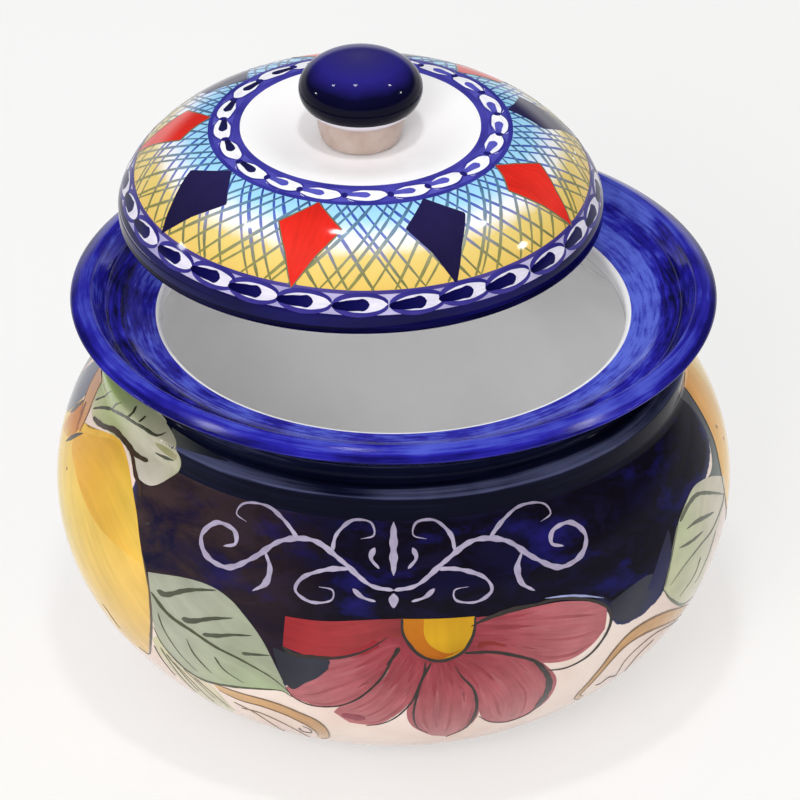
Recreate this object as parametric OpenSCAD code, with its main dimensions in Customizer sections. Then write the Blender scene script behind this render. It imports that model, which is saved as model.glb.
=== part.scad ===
// Glazed earthenware biscuit jar with a loose domed lid.
// The origin is the centre of the foot, on the table. The lid is shown lifted off its seat.

/* [Jar body] */
// Outer radius of the belly at its widest circle
belly_r = 116; // [110:1:120]
// Height of the belly's widest circle above the table
belly_mid_h = 72; // [66:1:76]
// Half height of the ellipse that the belly follows
belly_half_h = 84; // [80:1:92]
// Thickness of the belly wall
wall = 5.5; // [4:0.5:8]
// Thickness of the floor above the foot recess
floor_t = 7; // [5:0.5:10]
// Width of the ring that the jar stands on
foot_w = 7; // [5:0.5:12]
// Depth of the recess inside the foot ring
foot_recess = 1.5; // [0.5:0.25:3]

/* [Seat and neck] */
// Inner radius of the throat
throat_r = 78.5; // [74:0.5:82]
// Radius of the throat's rounded edge
throat_round = 2; // [1:0.5:3]
// Width of the flat lid seat outside the throat's rounded edge
seat_w = 4.5; // [3.5:0.5:6]
// Thickness of the shelf that carries the lid
shelf_t = 5.5; // [4.5:0.5:7]
// Reach of the shelf inwards from the neck's inner face
shelf_reach = 9; // [7:0.5:11]
// Thickness of the neck wall
neck_wall = 4.5; // [3.5:0.5:6]
// Height of the neck's plain band above the ledge
neck_band = 4.5; // [3:0.5:6]
// Width of the ledge from the neck out to the collar
ledge_w = 8; // [6:0.5:10]
// Rise of the ledge from the collar in to the neck
ledge_rise = 2; // [1:0.5:3]
// Height of the collar above the belly's curve
collar_h = 8.4; // [5:0.2:14]

/* [Rim] */
// Height of the rim's widest edge above the collar
rim_rise = 20; // [18:0.5:26]
// Reach of the rim's widest edge outwards from the neck
rim_reach = 18; // [16:0.5:24]
// Rise of the rim's crest above its edge
crest_rise = 4; // [2:0.5:6]
// Width of the bevel from the rim's edge in to its crest
bevel_w = 7; // [5:0.5:9]
// Width of the crest's inner face, from the crest to the groove
groove_w = 5.5; // [4:0.5:7]
// Depth of the groove below the rim's edge
groove_drop = 4.4; // [3:0.2:6]
// Depth of the lid seat below the rim's edge
seat_drop = 6.5; // [5:0.5:8]

/* [Lid] */
// How far the lid's edge reaches over the throat onto the seat
lid_lap = 4; // [3:0.5:6]
// Height of the lid's straight edge
lid_edge_h = 5; // [3:0.5:8]
// Height of the lid's crown above its edge plane
crown_h = 33.5; // [30:0.5:42]
// Radius of the lid's flat crown
crown_r = 41; // [36:1:46]
// Depth of the dip in the crown, under the knob
crown_dip = 4.6; // [2:0.2:6]
// Thickness of the lid's wall
lid_wall = 5; // [4:0.5:7]
// Gap between the locating flange and the throat
flange_gap = 5; // [4.5:0.5:7]
// Depth of the locating flange below the lid's edge plane
flange_depth = 6; // [3:0.5:6.5]
// Thickness of the locating flange
flange_t = 5; // [4:0.5:7]

/* [Knob] */
// Radius of the knob's cap
knob_r = 21; // [18:0.5:26]
// Half height of the knob's cap
knob_half_h = 12.4; // [10:0.2:15]
// Height of the cap's middle above the lid's crown centre
knob_mid_h = 19.1; // [17:0.5:24]
// Radius of the knob's stem where it meets the lid
stem_r = 12.2; // [10:0.2:14]
// Radius of the stem where it meets the cap
stem_top_r = 14.9; // [14:0.1:16.5]

/* [Display] */
// How far the lifted lid lies to the left of its seat
lid_left = 11; // [0:0.5:20]
// How far the lifted lid lies behind its seat
lid_back = 16; // [0:0.5:20]
// How far the lifted lid lies above its seat
lid_up = 29; // [20:0.5:60]

/* [Hidden] */

$fn = 144;
glaze_round = 1; // small rounding that the glaze leaves on an edge
belly_steps = 28;
dome_steps = 14;
bend_steps = 6;
dome_power = 1.42; // below 2 the dome's shoulder falls away sooner than an ellipse's
crest_round = 1.2; // rounding of the rim's edge, crest and groove
flare_lead = 2; // how far the flare runs along the neck before it turns out to the rim

seat_out_r = throat_r + throat_round + seat_w;
neck_in_r = throat_r + shelf_reach;
neck_r = neck_in_r + neck_wall;
collar_r = neck_r + ledge_w;
rim_r = neck_r + rim_reach;
groove_r = rim_r - bevel_w - groove_w;
foot_r = ellipse_r(belly_r, belly_half_h, belly_mid_h);

belly_top_h = belly_mid_h + ellipse_r(belly_half_h, belly_r, collar_r);
collar_top_h = belly_top_h + collar_h;
neck_low_h = collar_top_h + ledge_rise;
flare_h = neck_low_h + neck_band;
rim_h = collar_top_h + rim_rise;
seat_h = rim_h - seat_drop;

lid_r = throat_r + lid_lap;
flange_r = throat_r - flange_gap;
crown_centre_h = crown_h - crown_dip;
knob_join_h = knob_mid_h - ellipse_r(knob_half_h, knob_r, stem_top_r);

// Radius of an ellipse of revolution at a height dz from its middle.
function ellipse_r(a, c, dz) = a * sqrt(1 - pow(dz / c, 2));

// Points on an ellipse with half widths a and c round [x, y], from angle a0 to a1.
function arc(x, y, a, c, a0, a1, steps) =
    [for (i = [0:steps]) let (t = a0 + (a1 - a0) * i / steps) [x + a * cos(t), y + c * sin(t)]];

// Points on a smooth bend from p to q that leaves and arrives along the lines to corner k.
function bend(p, k, q, steps) =
    [for (i = [0:steps]) let (t = i / steps) (1 - t) * (1 - t) * p + 2 * t * (1 - t) * k + t * t * q];

// Points up a dome from its straight edge to its crown, as [radius, height].
function dome(edge_r, top_r, edge_h, top_h) =
    [for (i = [0:dome_steps]) let (t = sin(90 * i / dome_steps))
        [top_r + (edge_r - top_r) * sqrt(1 - pow(t, dome_power)), edge_h + (top_h - edge_h) * t]];

// Points of the dip in a crown, from its rim at top_r in to the knob's stem.
function dip(top_r, top_h, depth) =
    [for (i = [1:bend_steps]) let (t = i / bend_steps)
        [top_r + (stem_r + glaze_round - top_r) * t, top_h - depth * (1 - cos(180 * t)) / 2]];

// Points of the list in the opposite order.
function turned(points) = [for (i = [len(points) - 1:-1:0]) points[i]];

function belly_outline() =
    let (top = asin(sqrt(1 - pow(collar_r / belly_r, 2))))
    arc(0, belly_mid_h, belly_r, belly_half_h, -asin(belly_mid_h / belly_half_h), top, belly_steps);

function neck_outline() = concat(
    bend([collar_r, collar_top_h - glaze_round], [collar_r, collar_top_h],
        [collar_r - glaze_round, collar_top_h], 2),
    bend([neck_r + glaze_round, neck_low_h], [neck_r, neck_low_h],
        [neck_r, neck_low_h + glaze_round], 3),
    bend([neck_r, flare_h], [neck_r + flare_lead, flare_h + 1.5 * flare_lead],
        [rim_r - 2 * crest_round, rim_h - 2 * crest_round], bend_steps)
);

function rim_outline() = concat(
    bend([rim_r - glaze_round, rim_h - crest_round], [rim_r, rim_h - crest_round],
        [rim_r - glaze_round / 2, rim_h], 3),
    bend([rim_r - bevel_w + crest_round, rim_h + crest_rise - crest_round / 2],
        [rim_r - bevel_w, rim_h + crest_rise], [rim_r - bevel_w - crest_round,
        rim_h + crest_rise - crest_round], 3),
    bend([groove_r + crest_round, rim_h - groove_drop + 2 * crest_round],
        [groove_r, rim_h - groove_drop], [groove_r - 2 * crest_round, rim_h - groove_drop], 3)
);

function seat_outline() = concat(
    bend([(groove_r + seat_out_r) / 2, rim_h - groove_drop],
        [seat_out_r + seat_w / 2, seat_h], [seat_out_r, seat_h], bend_steps),
    arc(throat_r + throat_round, seat_h - throat_round, throat_round, throat_round, 90, 180,
        bend_steps)
);

// The inside follows the belly at one wall's distance, then turns into the flat floor.
function inside_outline() =
    let (a = belly_r - wall, c = belly_half_h - wall, low = foot_recess + floor_t)
    let (top = asin(sqrt(1 - pow(neck_in_r / a, 2))), side = -asin((belly_mid_h - 2 * low) / c))
    let (end = [a * cos(side), belly_mid_h + c * sin(side)])
    let (corner_r = end.x - pow(a / c, 2) * (belly_mid_h - end.y) / end.x * (end.y - low))
    concat(
        bend([throat_r, seat_h - shelf_t], [neck_in_r, seat_h - shelf_t],
            [neck_in_r, seat_h - 2 * shelf_t], bend_steps),
        arc(0, belly_mid_h, a, c, top, side, belly_steps),
        bend(end, [corner_r, low], [2 * corner_r - end.x, low], bend_steps),
        [[0, low]]
    );

function foot_outline() = [
    [0, foot_recess],
    [foot_r - foot_w, foot_recess],
    [foot_r - foot_w + foot_recess, 0]
];

module jar_body() {
    color([0.16, 0.13, 0.52])
    rotate_extrude()
    polygon(concat(foot_outline(), belly_outline(), neck_outline(), rim_outline(), seat_outline(),
        inside_outline()));
}

// The lid and its knob are drawn about their own axis, with the lid's edge plane at height 0.
module lid_place() {
    translate([-lid_left, lid_back, seat_h + lid_up]) children();
}

function lid_outline() = concat(
    [[0, crown_centre_h]],
    turned(dip(crown_r, crown_h, crown_dip)),
    turned(dome(lid_r, crown_r, lid_edge_h, crown_h)),
    bend([lid_r, glaze_round], [lid_r, 0], [lid_r - glaze_round, 0], 3),
    [[flange_r, 0]],
    bend([flange_r, -flange_depth + glaze_round], [flange_r, -flange_depth],
        [flange_r - glaze_round, -flange_depth], 2),
    bend([flange_r - flange_t + glaze_round, -flange_depth], [flange_r - flange_t, -flange_depth],
        [flange_r - flange_t, -flange_depth + glaze_round], 2),
    [[flange_r - flange_t, 0]],
    dome(lid_r - lid_wall, crown_r, lid_edge_h, crown_h - lid_wall),
    dip(crown_r, crown_h - lid_wall, crown_dip),
    [[0, crown_centre_h - lid_wall]]
);

module lid() {
    color([0.86, 0.85, 0.93])
    lid_place()
    rotate_extrude()
    polygon(lid_outline());
}

function knob_outline() = concat(
    [[0, 0]],
    arc(stem_r, knob_join_h, stem_top_r - stem_r, knob_join_h, -90, 0, bend_steps),
    arc(0, knob_mid_h, knob_r, knob_half_h, -acos(stem_top_r / knob_r), 90, belly_steps)
);

module lid_knob() {
    color([0.12, 0.1, 0.4])
    lid_place()
    translate([0, 0, crown_centre_h])
    rotate_extrude()
    polygon(knob_outline());
}

jar_body();
lid();
lid_knob();
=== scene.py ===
"""Looks of a hand-painted, glazed earthenware biscuit jar with a loose domed lid.

The jar, the lid and the knob are turned shells, each one closed surface of revolution.
The painting lies on them as thin closed films of colour, brush stroke by brush stroke,
because on such ware every stroke is a film of its own under the clear glaze.
Lengths are in millimetres until a mesh is made, and then in metres.
"""

import logging
import math
from collections.abc import Callable
from dataclasses import dataclass, field
from enum import Enum

import bpy
import numpy as np
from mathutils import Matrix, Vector


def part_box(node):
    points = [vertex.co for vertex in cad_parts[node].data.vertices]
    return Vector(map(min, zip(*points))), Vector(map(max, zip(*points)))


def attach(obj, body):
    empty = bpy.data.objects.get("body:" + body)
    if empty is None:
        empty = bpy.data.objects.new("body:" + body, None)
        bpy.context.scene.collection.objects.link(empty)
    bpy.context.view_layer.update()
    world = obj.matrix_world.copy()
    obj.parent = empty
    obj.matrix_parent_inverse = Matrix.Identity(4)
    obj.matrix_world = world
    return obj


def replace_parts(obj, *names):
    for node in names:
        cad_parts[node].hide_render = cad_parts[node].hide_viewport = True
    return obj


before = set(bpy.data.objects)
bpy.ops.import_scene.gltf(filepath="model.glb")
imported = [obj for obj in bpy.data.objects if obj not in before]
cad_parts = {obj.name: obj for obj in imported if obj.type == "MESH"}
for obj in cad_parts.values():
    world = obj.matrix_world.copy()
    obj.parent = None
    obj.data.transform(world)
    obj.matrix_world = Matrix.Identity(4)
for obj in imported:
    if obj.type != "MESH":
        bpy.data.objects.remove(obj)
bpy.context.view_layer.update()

Tree = bpy.types.NodeTree
Node = bpy.types.Node
Socket = bpy.types.NodeSocket
Material = bpy.types.Material
Mesh = bpy.types.Mesh
Piece = bpy.types.Object

log = logging.getLogger("biscuit_jar")

MM = 0.001  # metres in a millimetre
PAINT = "Paint"  # colour attribute of the brush strokes
WHEEL = "Wheel"  # place on the turned form: direction round it, and length along its outline
NAVY_DEPTH = "NavyDepth"  # how far a point lies inside the navy ground, in millimetres
BRUSH = "Brush"  # UV map of a stroke: across and along it, in millimetres


# ---------------------------------------------------------------- colour and nodes


def srgb(code: str) -> np.ndarray:
    """Splits an sRGB hex value.

    Args:
        code: Six hex digits after a hash sign.

    Returns:
        Red, green and blue from 0 to 1, still in sRGB.
    """
    return np.array([int(code[i : i + 2], 16) / 255 for i in (1, 3, 5)])


def to_linear(colour: np.ndarray) -> np.ndarray:
    """Turns sRGB values to linear light.

    Args:
        colour: Values from 0 to 1 in any shape.

    Returns:
        The same shape in linear light.
    """
    colour = np.clip(colour, 0, 1)
    return np.where(colour <= 0.04045, colour / 12.92, ((colour + 0.055) / 1.055) ** 2.4)


def rgba(code: str) -> tuple[float, float, float, float]:
    """Gives a hex value as a linear colour for a socket."""
    return (*(float(c) for c in to_linear(srgb(code))), 1.0)


def connect(tree: Tree, source: Node | Socket, goal: Socket) -> None:
    """Links an output, or a node's first output, to a socket."""
    tree.links.new(source.outputs[0] if isinstance(source, Node) else source, goal)


def add_node(tree: Tree, kind: str, settings: dict | None = None) -> Node:
    """Adds one node to a tree.

    Args:
        tree: The node tree.
        kind: Blender's name of the node's type, without its ShaderNode prefix.
        settings: The node's properties, and its sockets by name or number. A socket gets a
            plain value, an output, or a node whose first output it takes.

    Returns:
        The new node.
    """
    node = tree.nodes.new("ShaderNode" + kind)
    for name, value in (settings or {}).items():
        if isinstance(name, str) and name not in node.inputs:
            setattr(node, name, value)
        elif isinstance(value, (Node, Socket)):
            connect(tree, value, node.inputs[name])
        else:
            node.inputs[name].default_value = value
    return node


def ramp(tree: Tree, source: Node | Socket, stops: list[tuple[float, str | float]]) -> Node:
    """Adds a ramp, straight from stop to stop.

    Args:
        tree: The node tree.
        source: The value that drives it, from 0 to 1.
        stops: Places, and hex colours or plain values, in order.

    Returns:
        The ramp.
    """
    node = add_node(tree, "ValToRGB", {"Fac": source})
    marks = node.color_ramp.elements
    while len(marks) < len(stops):
        marks.new(1.0)
    for mark, (place, tone) in zip(marks, stops):
        mark.position = place
        mark.color = rgba(tone) if isinstance(tone, str) else (tone, tone, tone, 1.0)
    return node


def new_material(name: str) -> tuple[Material, Tree, Node]:
    """Starts a material with a Principled shader.

    Args:
        name: The material's name.

    Returns:
        The material, its node tree and its Principled node.
    """
    material = bpy.data.materials.new(name)
    material.use_nodes = True
    tree = material.node_tree
    return material, tree, tree.nodes["Principled BSDF"]


def coat(tree: Tree, shader: Node, colour: Node | Socket, roughness: float, gloss: float = 0.5) -> None:
    """Gives a shader its colour and its shine.

    Args:
        tree: The node tree.
        shader: The Principled node.
        colour: The output or node that gives the colour.
        roughness: The surface's roughness.
        gloss: Its specular level.
    """
    connect(tree, colour, shader.inputs["Base Color"])
    shader.inputs["Roughness"].default_value = roughness
    shader.inputs["Specular IOR Level"].default_value = gloss


# ---------------------------------------------------------------- finishes


@dataclass(frozen=True)
class WhiteTinGlaze:
    """Tin glaze dipped over earthenware: an opaque warm white that pools faintly."""

    name: str = "white_tin_glaze"
    thin: str = "#efebe9"
    thick: str = "#f8f7f6"
    roughness: float = 0.09
    gloss: float = 0.3  # specular level
    pool_mm: float = 30.0  # size of the soft pools where the glaze ran thicker
    ripple_mm: tuple[float, float] = (22.0, 0.05)  # length and height of the ripple in the glaze

    def build(self) -> Material:
        """Makes the material.

        Returns:
            The finish.
        """
        material, tree, shader = new_material(self.name)
        place = add_node(tree, "TexCoord").outputs["Object"]
        pools = add_node(
            tree,
            "TexNoise",
            {"Scale": 1 / (self.pool_mm * MM), "Detail": 3.0, "Roughness": 0.5, "Vector": place},
        )
        colour = ramp(tree, pools, [(0.35, self.thin), (0.65, self.thick)])
        coat(tree, shader, colour, self.roughness, self.gloss)
        add_ripple(tree, shader, place, self.ripple_mm)
        return material


def add_ripple(tree: Tree, shader: Node, place: Socket, ripple_mm: tuple[float, float]) -> None:
    """Gives a glaze the slow ripple that makes its reflections wander.

    Args:
        tree: The node tree.
        shader: The Principled node that takes the bump.
        place: Coordinates in metres.
        ripple_mm: Length and height of the ripple.
    """
    size, height = (value * MM for value in ripple_mm)
    noise = add_node(tree, "TexNoise", {"Scale": 1 / size, "Detail": 1.0, "Vector": place})
    bump = add_node(tree, "Bump", {"Strength": 1.0, "Distance": height, "Height": noise})
    tree.links.new(bump.outputs["Normal"], shader.inputs["Normal"])


@dataclass(frozen=True)
class BareEarthenware:
    """Unglazed biscuit-fired clay wiped clean under the foot: matt, pinkish buff, with grit."""

    name: str = "bare_earthenware"
    light: str = "#c99b7c"
    dark: str = "#a8775a"
    grit_mm: float = 0.8
    roughness: float = 0.85

    def build(self) -> Material:
        """Makes the material.

        Returns:
            The finish.
        """
        material, tree, shader = new_material(self.name)
        place = add_node(tree, "TexCoord").outputs["Object"]
        grit = add_node(
            tree, "TexNoise", {"Scale": 1 / (self.grit_mm * MM), "Detail": 4.0, "Vector": place}
        )
        colour = ramp(tree, grit, [(0.35, self.dark), (0.65, self.light)])
        coat(tree, shader, colour, self.roughness)
        return material


@dataclass(frozen=True)
class BrushedCobalt:
    """Cobalt oxide brushed on the turning wheel under a gloss glaze.

    The brush leaves streaks that run round the form, bright blue where the colour is thin
    and near black where it lies thick. Bands by height and a shift from left to right add painted highlight
    and painted shade.
    """

    name: str
    thick: str
    body: str
    thin: str
    streak_mm: float = 1.6  # spacing of the brush streaks across the outline
    run_mm: float = 70.0  # length of a streak round the form
    cloud_mm: float = 45.0
    contrast: float = 0.16
    roughness: float = 0.08
    gloss: float = 0.3
    breaks_and_painted_light: tuple[tuple[float, float], ...] = ()  # heights, and how much lighter the colour is painted there: painted highlight and painted shade, partly where the glaze breaks thin over edges or pools in hollows
    painted_side_light: tuple[tuple[float, float], ...] = ()  # the same for places from left to right: painted light, lighter towards the right
    ripple_mm: tuple[float, float] = (18.0, 0.06)

    def build(self) -> Material:
        """Makes the material.

        Returns:
            The finish.
        """
        material, tree, shader = new_material(self.name)
        wheel = add_node(tree, "Attribute", {"attribute_name": WHEEL}).outputs["Vector"]
        run, streak, cloud = (1 / (v * MM) for v in (self.run_mm, self.streak_mm, self.cloud_mm))
        stretched = add_node(tree, "Mapping", {"Scale": (run, run, streak), "Vector": wheel})
        streaks = add_node(
            tree, "TexNoise", {"Scale": 1.0, "Detail": 4.0, "Roughness": 0.65, "Vector": stretched}
        )
        clouds = add_node(tree, "TexNoise", {"Scale": cloud, "Detail": 3.0, "Vector": wheel})
        mixed = add_node(tree, "MixRGB", {"Fac": 0.45, "Color1": streaks, "Color2": clouds})
        value = mixed.outputs["Color"]
        # Bands by height and a shift from left to right: painted highlight and painted shade.
        for axis, shifts in (("Z", self.breaks_and_painted_light), ("X", self.painted_side_light)):
            if shifts:
                value = self.shifted(tree, value, axis, shifts)
        low, high = 0.5 - self.contrast, 0.5 + self.contrast
        colour = ramp(tree, value, [(low, self.thick), (0.5, self.body), (high, self.thin)])
        coat(tree, shader, colour, self.roughness, self.gloss)
        add_ripple(tree, shader, wheel, self.ripple_mm)
        return material

    def shifted(
        self, tree: Tree, value: Socket, axis: str, shifts: tuple[tuple[float, float], ...]
    ) -> Socket:
        """Paints highlight and shade into the colour: lighter or darker bands by height, partly where the
        glaze breaks thin over edges or pools in hollows, and lighter towards one side.

        Args:
            tree: The node tree.
            value: How thin the colour lies, with 0.5 for its body.
            axis: The axis that the places lie along, "X" or "Z".
            shifts: Places in millimetres, and how much lighter the colour is painted there.

        Returns:
            The value with the shifts added.
        """
        place = add_node(tree, "TexCoord").outputs["Object"]
        along = add_node(tree, "SeparateXYZ", {"Vector": place}).outputs[axis]
        low, high = shifts[0][0], shifts[-1][0]
        share = add_node(tree, "MapRange", {"From Min": low * MM, "From Max": high * MM, "Value": along})
        stops = [((at - low) / (high - low), 0.5 + shift) for at, shift in shifts]
        shift = ramp(tree, share, stops)
        total = add_node(tree, "Math", {"operation": "ADD", 0: value, 1: shift})
        back = add_node(tree, "Math", {"operation": "SUBTRACT", 0: total, 1: 0.5})
        return back.outputs["Value"]


@dataclass(frozen=True)
class BellyGlaze:
    """Navy and manganese brushed over the upper belly, and bare cream glaze below its edge.

    The navy is almost black, clouded with purple brown and with bright cobalt where the brush
    lifted. Its lower edge is a wet brush edge, a little ragged, with a thinner slate blue rim.
    """

    name: str = "belly_navy_over_cream"
    black: str = "#0b0a14"
    navy: str = "#13112c"
    plum: str = "#3f3032"
    cobalt: str = "#1f1c66"
    slate: str = "#3a3c5e"
    cream: str = "#ecdcd2"
    cream_thin: str = "#e2c9bd"
    cloud_mm: float = 26.0
    rag_mm: float = 1.2  # raggedness of the navy's edge
    edge_mm: float = 3.5  # width of the thinner colour along the edge
    blur_mm: float = 0.15  # half width over which navy turns to cream
    rag_size_mm: float = 4.0
    pool_mm: float = 35.0  # size of the cream's soft pools
    warm_mm: tuple[float, float] = (-18.0, -92.0)  # the plum grows over this stretch to the left
    roughness: float = 0.07
    gloss: float = 0.05
    ripple_mm: tuple[float, float] = (20.0, 0.06)

    def build(self) -> Material:
        """Makes the material.

        Returns:
            The finish.
        """
        material, tree, shader = new_material(self.name)
        wheel = add_node(tree, "Attribute", {"attribute_name": WHEEL}).outputs["Vector"]
        depth = add_node(tree, "Attribute", {"attribute_name": NAVY_DEPTH}).outputs["Fac"]
        navy = self.navy_ground(tree, wheel)
        size = self.rag_size_mm * MM
        rag = add_node(
            tree, "TexNoise", {"Scale": 1 / size, "Detail": 5.0, "Roughness": 0.7, "Vector": wheel}
        )
        moved = add_node(tree, "Math", {"operation": "MULTIPLY_ADD", 0: rag, 1: 2 * self.rag_mm, 2: depth})
        rim = add_node(
            tree,
            "MapRange",
            {"From Min": self.rag_mm, "From Max": self.rag_mm + self.edge_mm, "Value": moved},
        )
        inside = add_node(tree, "MixRGB", {"Fac": rim, "Color1": rgba(self.slate), "Color2": navy})
        blur = self.blur_mm
        cover = add_node(
            tree,
            "MapRange",
            {"From Min": self.rag_mm - blur, "From Max": self.rag_mm + blur, "Value": moved},
        )
        pools = add_node(tree, "TexNoise", {"Scale": 1 / (self.pool_mm * MM), "Detail": 2.0, "Vector": wheel})
        cream = ramp(tree, pools, [(0.35, self.cream_thin), (0.6, self.cream)])
        colour = add_node(tree, "MixRGB", {"Fac": cover, "Color1": cream, "Color2": inside})
        coat(tree, shader, colour, self.roughness, self.gloss)
        add_ripple(tree, shader, wheel, self.ripple_mm)
        return material

    def navy_ground(self, tree: Tree, wheel: Socket) -> Socket:
        """Clouds the navy.

        Args:
            tree: The node tree.
            wheel: Place on the turned form, in metres.

        Returns:
            The clouded colour.
        """
        scale = 1 / (self.cloud_mm * MM)
        wash = add_node(tree, "Mapping", {"Scale": (scale, scale, 2.2 * scale), "Vector": wheel})
        clouds = add_node(
            tree,
            "TexNoise",
            {"Scale": 1.0, "Detail": 6.0, "Roughness": 0.62, "Distortion": 0.4, "Vector": wash},
        )
        side = add_node(tree, "SeparateXYZ", {"Vector": wheel}).outputs["X"]
        start, end = (place * MM for place in self.warm_mm)
        warm = add_node(
            tree, "MapRange", {"From Min": start, "From Max": end, "To Min": 0.04, "Value": side}
        )
        blotch = add_node(tree, "MapRange", {"From Min": 0.32, "From Max": 0.55, "Value": clouds})
        brown = add_node(tree, "Math", {"operation": "MULTIPLY", 0: warm, 1: blotch})
        dark = ramp(tree, clouds, [(0.38, self.navy), (0.52, self.black), (0.66, self.navy)])
        clouded = add_node(tree, "MixRGB", {"Fac": brown, "Color1": dark, "Color2": rgba(self.plum)})
        lifts = add_node(tree, "TexNoise", {"Scale": 1.1, "Detail": 5.0, "Roughness": 0.6, "Vector": wash})
        lifted = add_node(tree, "MapRange", {"From Min": 0.55, "From Max": 0.78, "Value": lifts})
        cold = add_node(tree, "Math", {"operation": "SUBTRACT", 0: 1.0, 1: warm})
        share = add_node(tree, "Math", {"operation": "MULTIPLY", 0: lifted, 1: cold})
        mixed = add_node(tree, "MixRGB", {"Fac": share, "Color1": clouded, "Color2": rgba(self.cobalt)})
        return mixed.outputs["Color"]


@dataclass(frozen=True)
class LidGlaze:
    """White tin glaze with two soft washes round the lid: sky blue near the crown, yellow lower.

    The washes are brushed while the lid turns, so their edges wander and they are streaked.
    """

    name: str = "lid_white_with_washes"
    outline_mm: float = 100.0  # length of outline that the ramp spans
    stops: tuple[tuple[float, str], ...] = (
        (0.0, "#fdfcfd"),
        (42.0, "#fdfcfd"),
        (50.0, "#93cdf0"),
        (58.5, "#a6daf6"),
        (65.0, "#eef1fb"),
        (68.5, "#f5f2ea"),
        (73.0, "#e4cc7a"),
        (85.5, "#dfba5e"),
        (86.5, "#d6d0e6"),
        (95.5, "#c9c4e0"),
    )
    wander_mm: float = 3.0  # how far the washes' edges wander
    wave_mm: float = 9.0  # length over which they do
    roughness: float = 0.08
    gloss: float = 0.28
    ripple_mm: tuple[float, float] = (16.0, 0.05)

    def build(self) -> Material:
        """Makes the material.

        Returns:
            The finish.
        """
        material, tree, shader = new_material(self.name)
        wheel = add_node(tree, "Attribute", {"attribute_name": WHEEL}).outputs["Vector"]
        along = add_node(tree, "SeparateXYZ", {"Vector": wheel}).outputs["Z"]
        size = self.wave_mm * MM
        wander = add_node(
            tree, "TexNoise", {"Scale": 1 / size, "Detail": 3.0, "Roughness": 0.6, "Vector": wheel}
        )
        shift = add_node(
            tree,
            "MapRange",
            {"To Min": -self.wander_mm * MM, "To Max": self.wander_mm * MM, "Value": wander},
        )
        moved = add_node(tree, "Math", {"operation": "ADD", 0: along, 1: shift})
        share = add_node(tree, "Math", {"operation": "DIVIDE", 0: moved, 1: self.outline_mm * MM})
        colour = ramp(tree, share, [(place / self.outline_mm, code) for place, code in self.stops])
        coat(tree, shader, colour, self.roughness, self.gloss)
        add_ripple(tree, shader, wheel, self.ripple_mm)
        return material


@dataclass(frozen=True)
class BrushColour:
    """Oxide colours laid on with a loaded brush and glazed over.

    Each film takes its colour from the stroke itself. Hairs of the brush streak it along the
    stroke, and the wet colour dries a little darker in blots.
    """

    name: str
    streak_mm: float = 0.7
    run_mm: float = 14.0
    blot_mm: float = 6.0
    depth: float = 0.35  # how far streaks and blots darken or lighten the colour
    roughness: float = 0.08
    gloss: float = 0.3

    def build(self) -> Material:
        """Makes the material.

        Returns:
            The finish.
        """
        material, tree, shader = new_material(self.name)
        paint = add_node(tree, "Attribute", {"attribute_name": PAINT}).outputs["Color"]
        brush = add_node(tree, "UVMap", {"uv_map": BRUSH}).outputs["UV"]
        place = add_node(tree, "TexCoord").outputs["Object"]
        hairs = add_node(
            tree, "Mapping", {"Scale": (1 / self.streak_mm, 1 / self.run_mm, 1.0), "Vector": brush}
        )
        streaks = add_node(
            tree, "TexNoise", {"Scale": 1.0, "Detail": 2.0, "Roughness": 0.6, "Vector": hairs}
        )
        blots = add_node(
            tree, "TexNoise", {"Scale": 1 / (self.blot_mm * MM), "Detail": 3.0, "Vector": place}
        )
        both = add_node(tree, "Math", {"operation": "ADD", 0: streaks, 1: blots})
        low, high = 1 - self.depth, 1 + self.depth
        value = add_node(
            tree,
            "MapRange",
            {"From Min": 0.6, "From Max": 1.4, "To Min": low, "To Max": high, "Value": both},
        )
        colour = add_node(
            tree,
            "HueSaturation",
            {"Fac": 1.0, "Hue": 0.5, "Saturation": 1.0, "Value": value, "Color": paint},
        )
        coat(tree, shader, colour, self.roughness, self.gloss)
        return material


@dataclass(frozen=True)
class TopLitCobalt:
    """Cobalt glaze on the knob, painted bright on top and near black underneath: painted light from above and
    painted shade below.
    """

    name: str = "knob_cobalt_painted_light"
    outline_mm: float = 66.0  # length of outline that the ramp spans, from the stem's foot up
    stops: tuple[tuple[float, str], ...] = (
        (35.0, "#050418"),
        (40.5, "#0a0928"),
        (44.0, "#1d1960"),
        (47.5, "#272278"),
        (55.0, "#2e2a6e"),
        (64.0, "#3c386a"),
    )
    wander_mm: float = 2.5  # how far the edges of the painted light and shade wander
    wave_mm: float = 14.0  # length over which they do
    roughness: float = 0.06
    gloss: float = 0.09
    ripple_mm: tuple[float, float] = (12.0, 0.03)

    def build(self) -> Material:
        """Makes the material.

        Returns:
            The finish.
        """
        material, tree, shader = new_material(self.name)
        wheel = add_node(tree, "Attribute", {"attribute_name": WHEEL}).outputs["Vector"]
        along = add_node(tree, "SeparateXYZ", {"Vector": wheel}).outputs["Z"]
        size = self.wave_mm * MM
        noise = add_node(
            tree, "TexNoise", {"Scale": 1 / size, "Detail": 4.0, "Roughness": 0.6, "Vector": wheel}
        )
        moved = add_node(
            tree, "Math", {"operation": "MULTIPLY_ADD", 0: noise, 1: 2 * self.wander_mm * MM, 2: along}
        )
        share = add_node(
            tree,
            "MapRange",
            {
                "From Min": self.wander_mm * MM,
                "From Max": (self.wander_mm + self.outline_mm) * MM,
                "Value": moved,
            },
        )
        colour = ramp(tree, share, [(place / self.outline_mm, code) for place, code in self.stops])
        coat(tree, shader, colour, self.roughness, self.gloss)
        add_ripple(tree, shader, wheel, self.ripple_mm)
        return material


# ---------------------------------------------------------------- outlines


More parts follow.
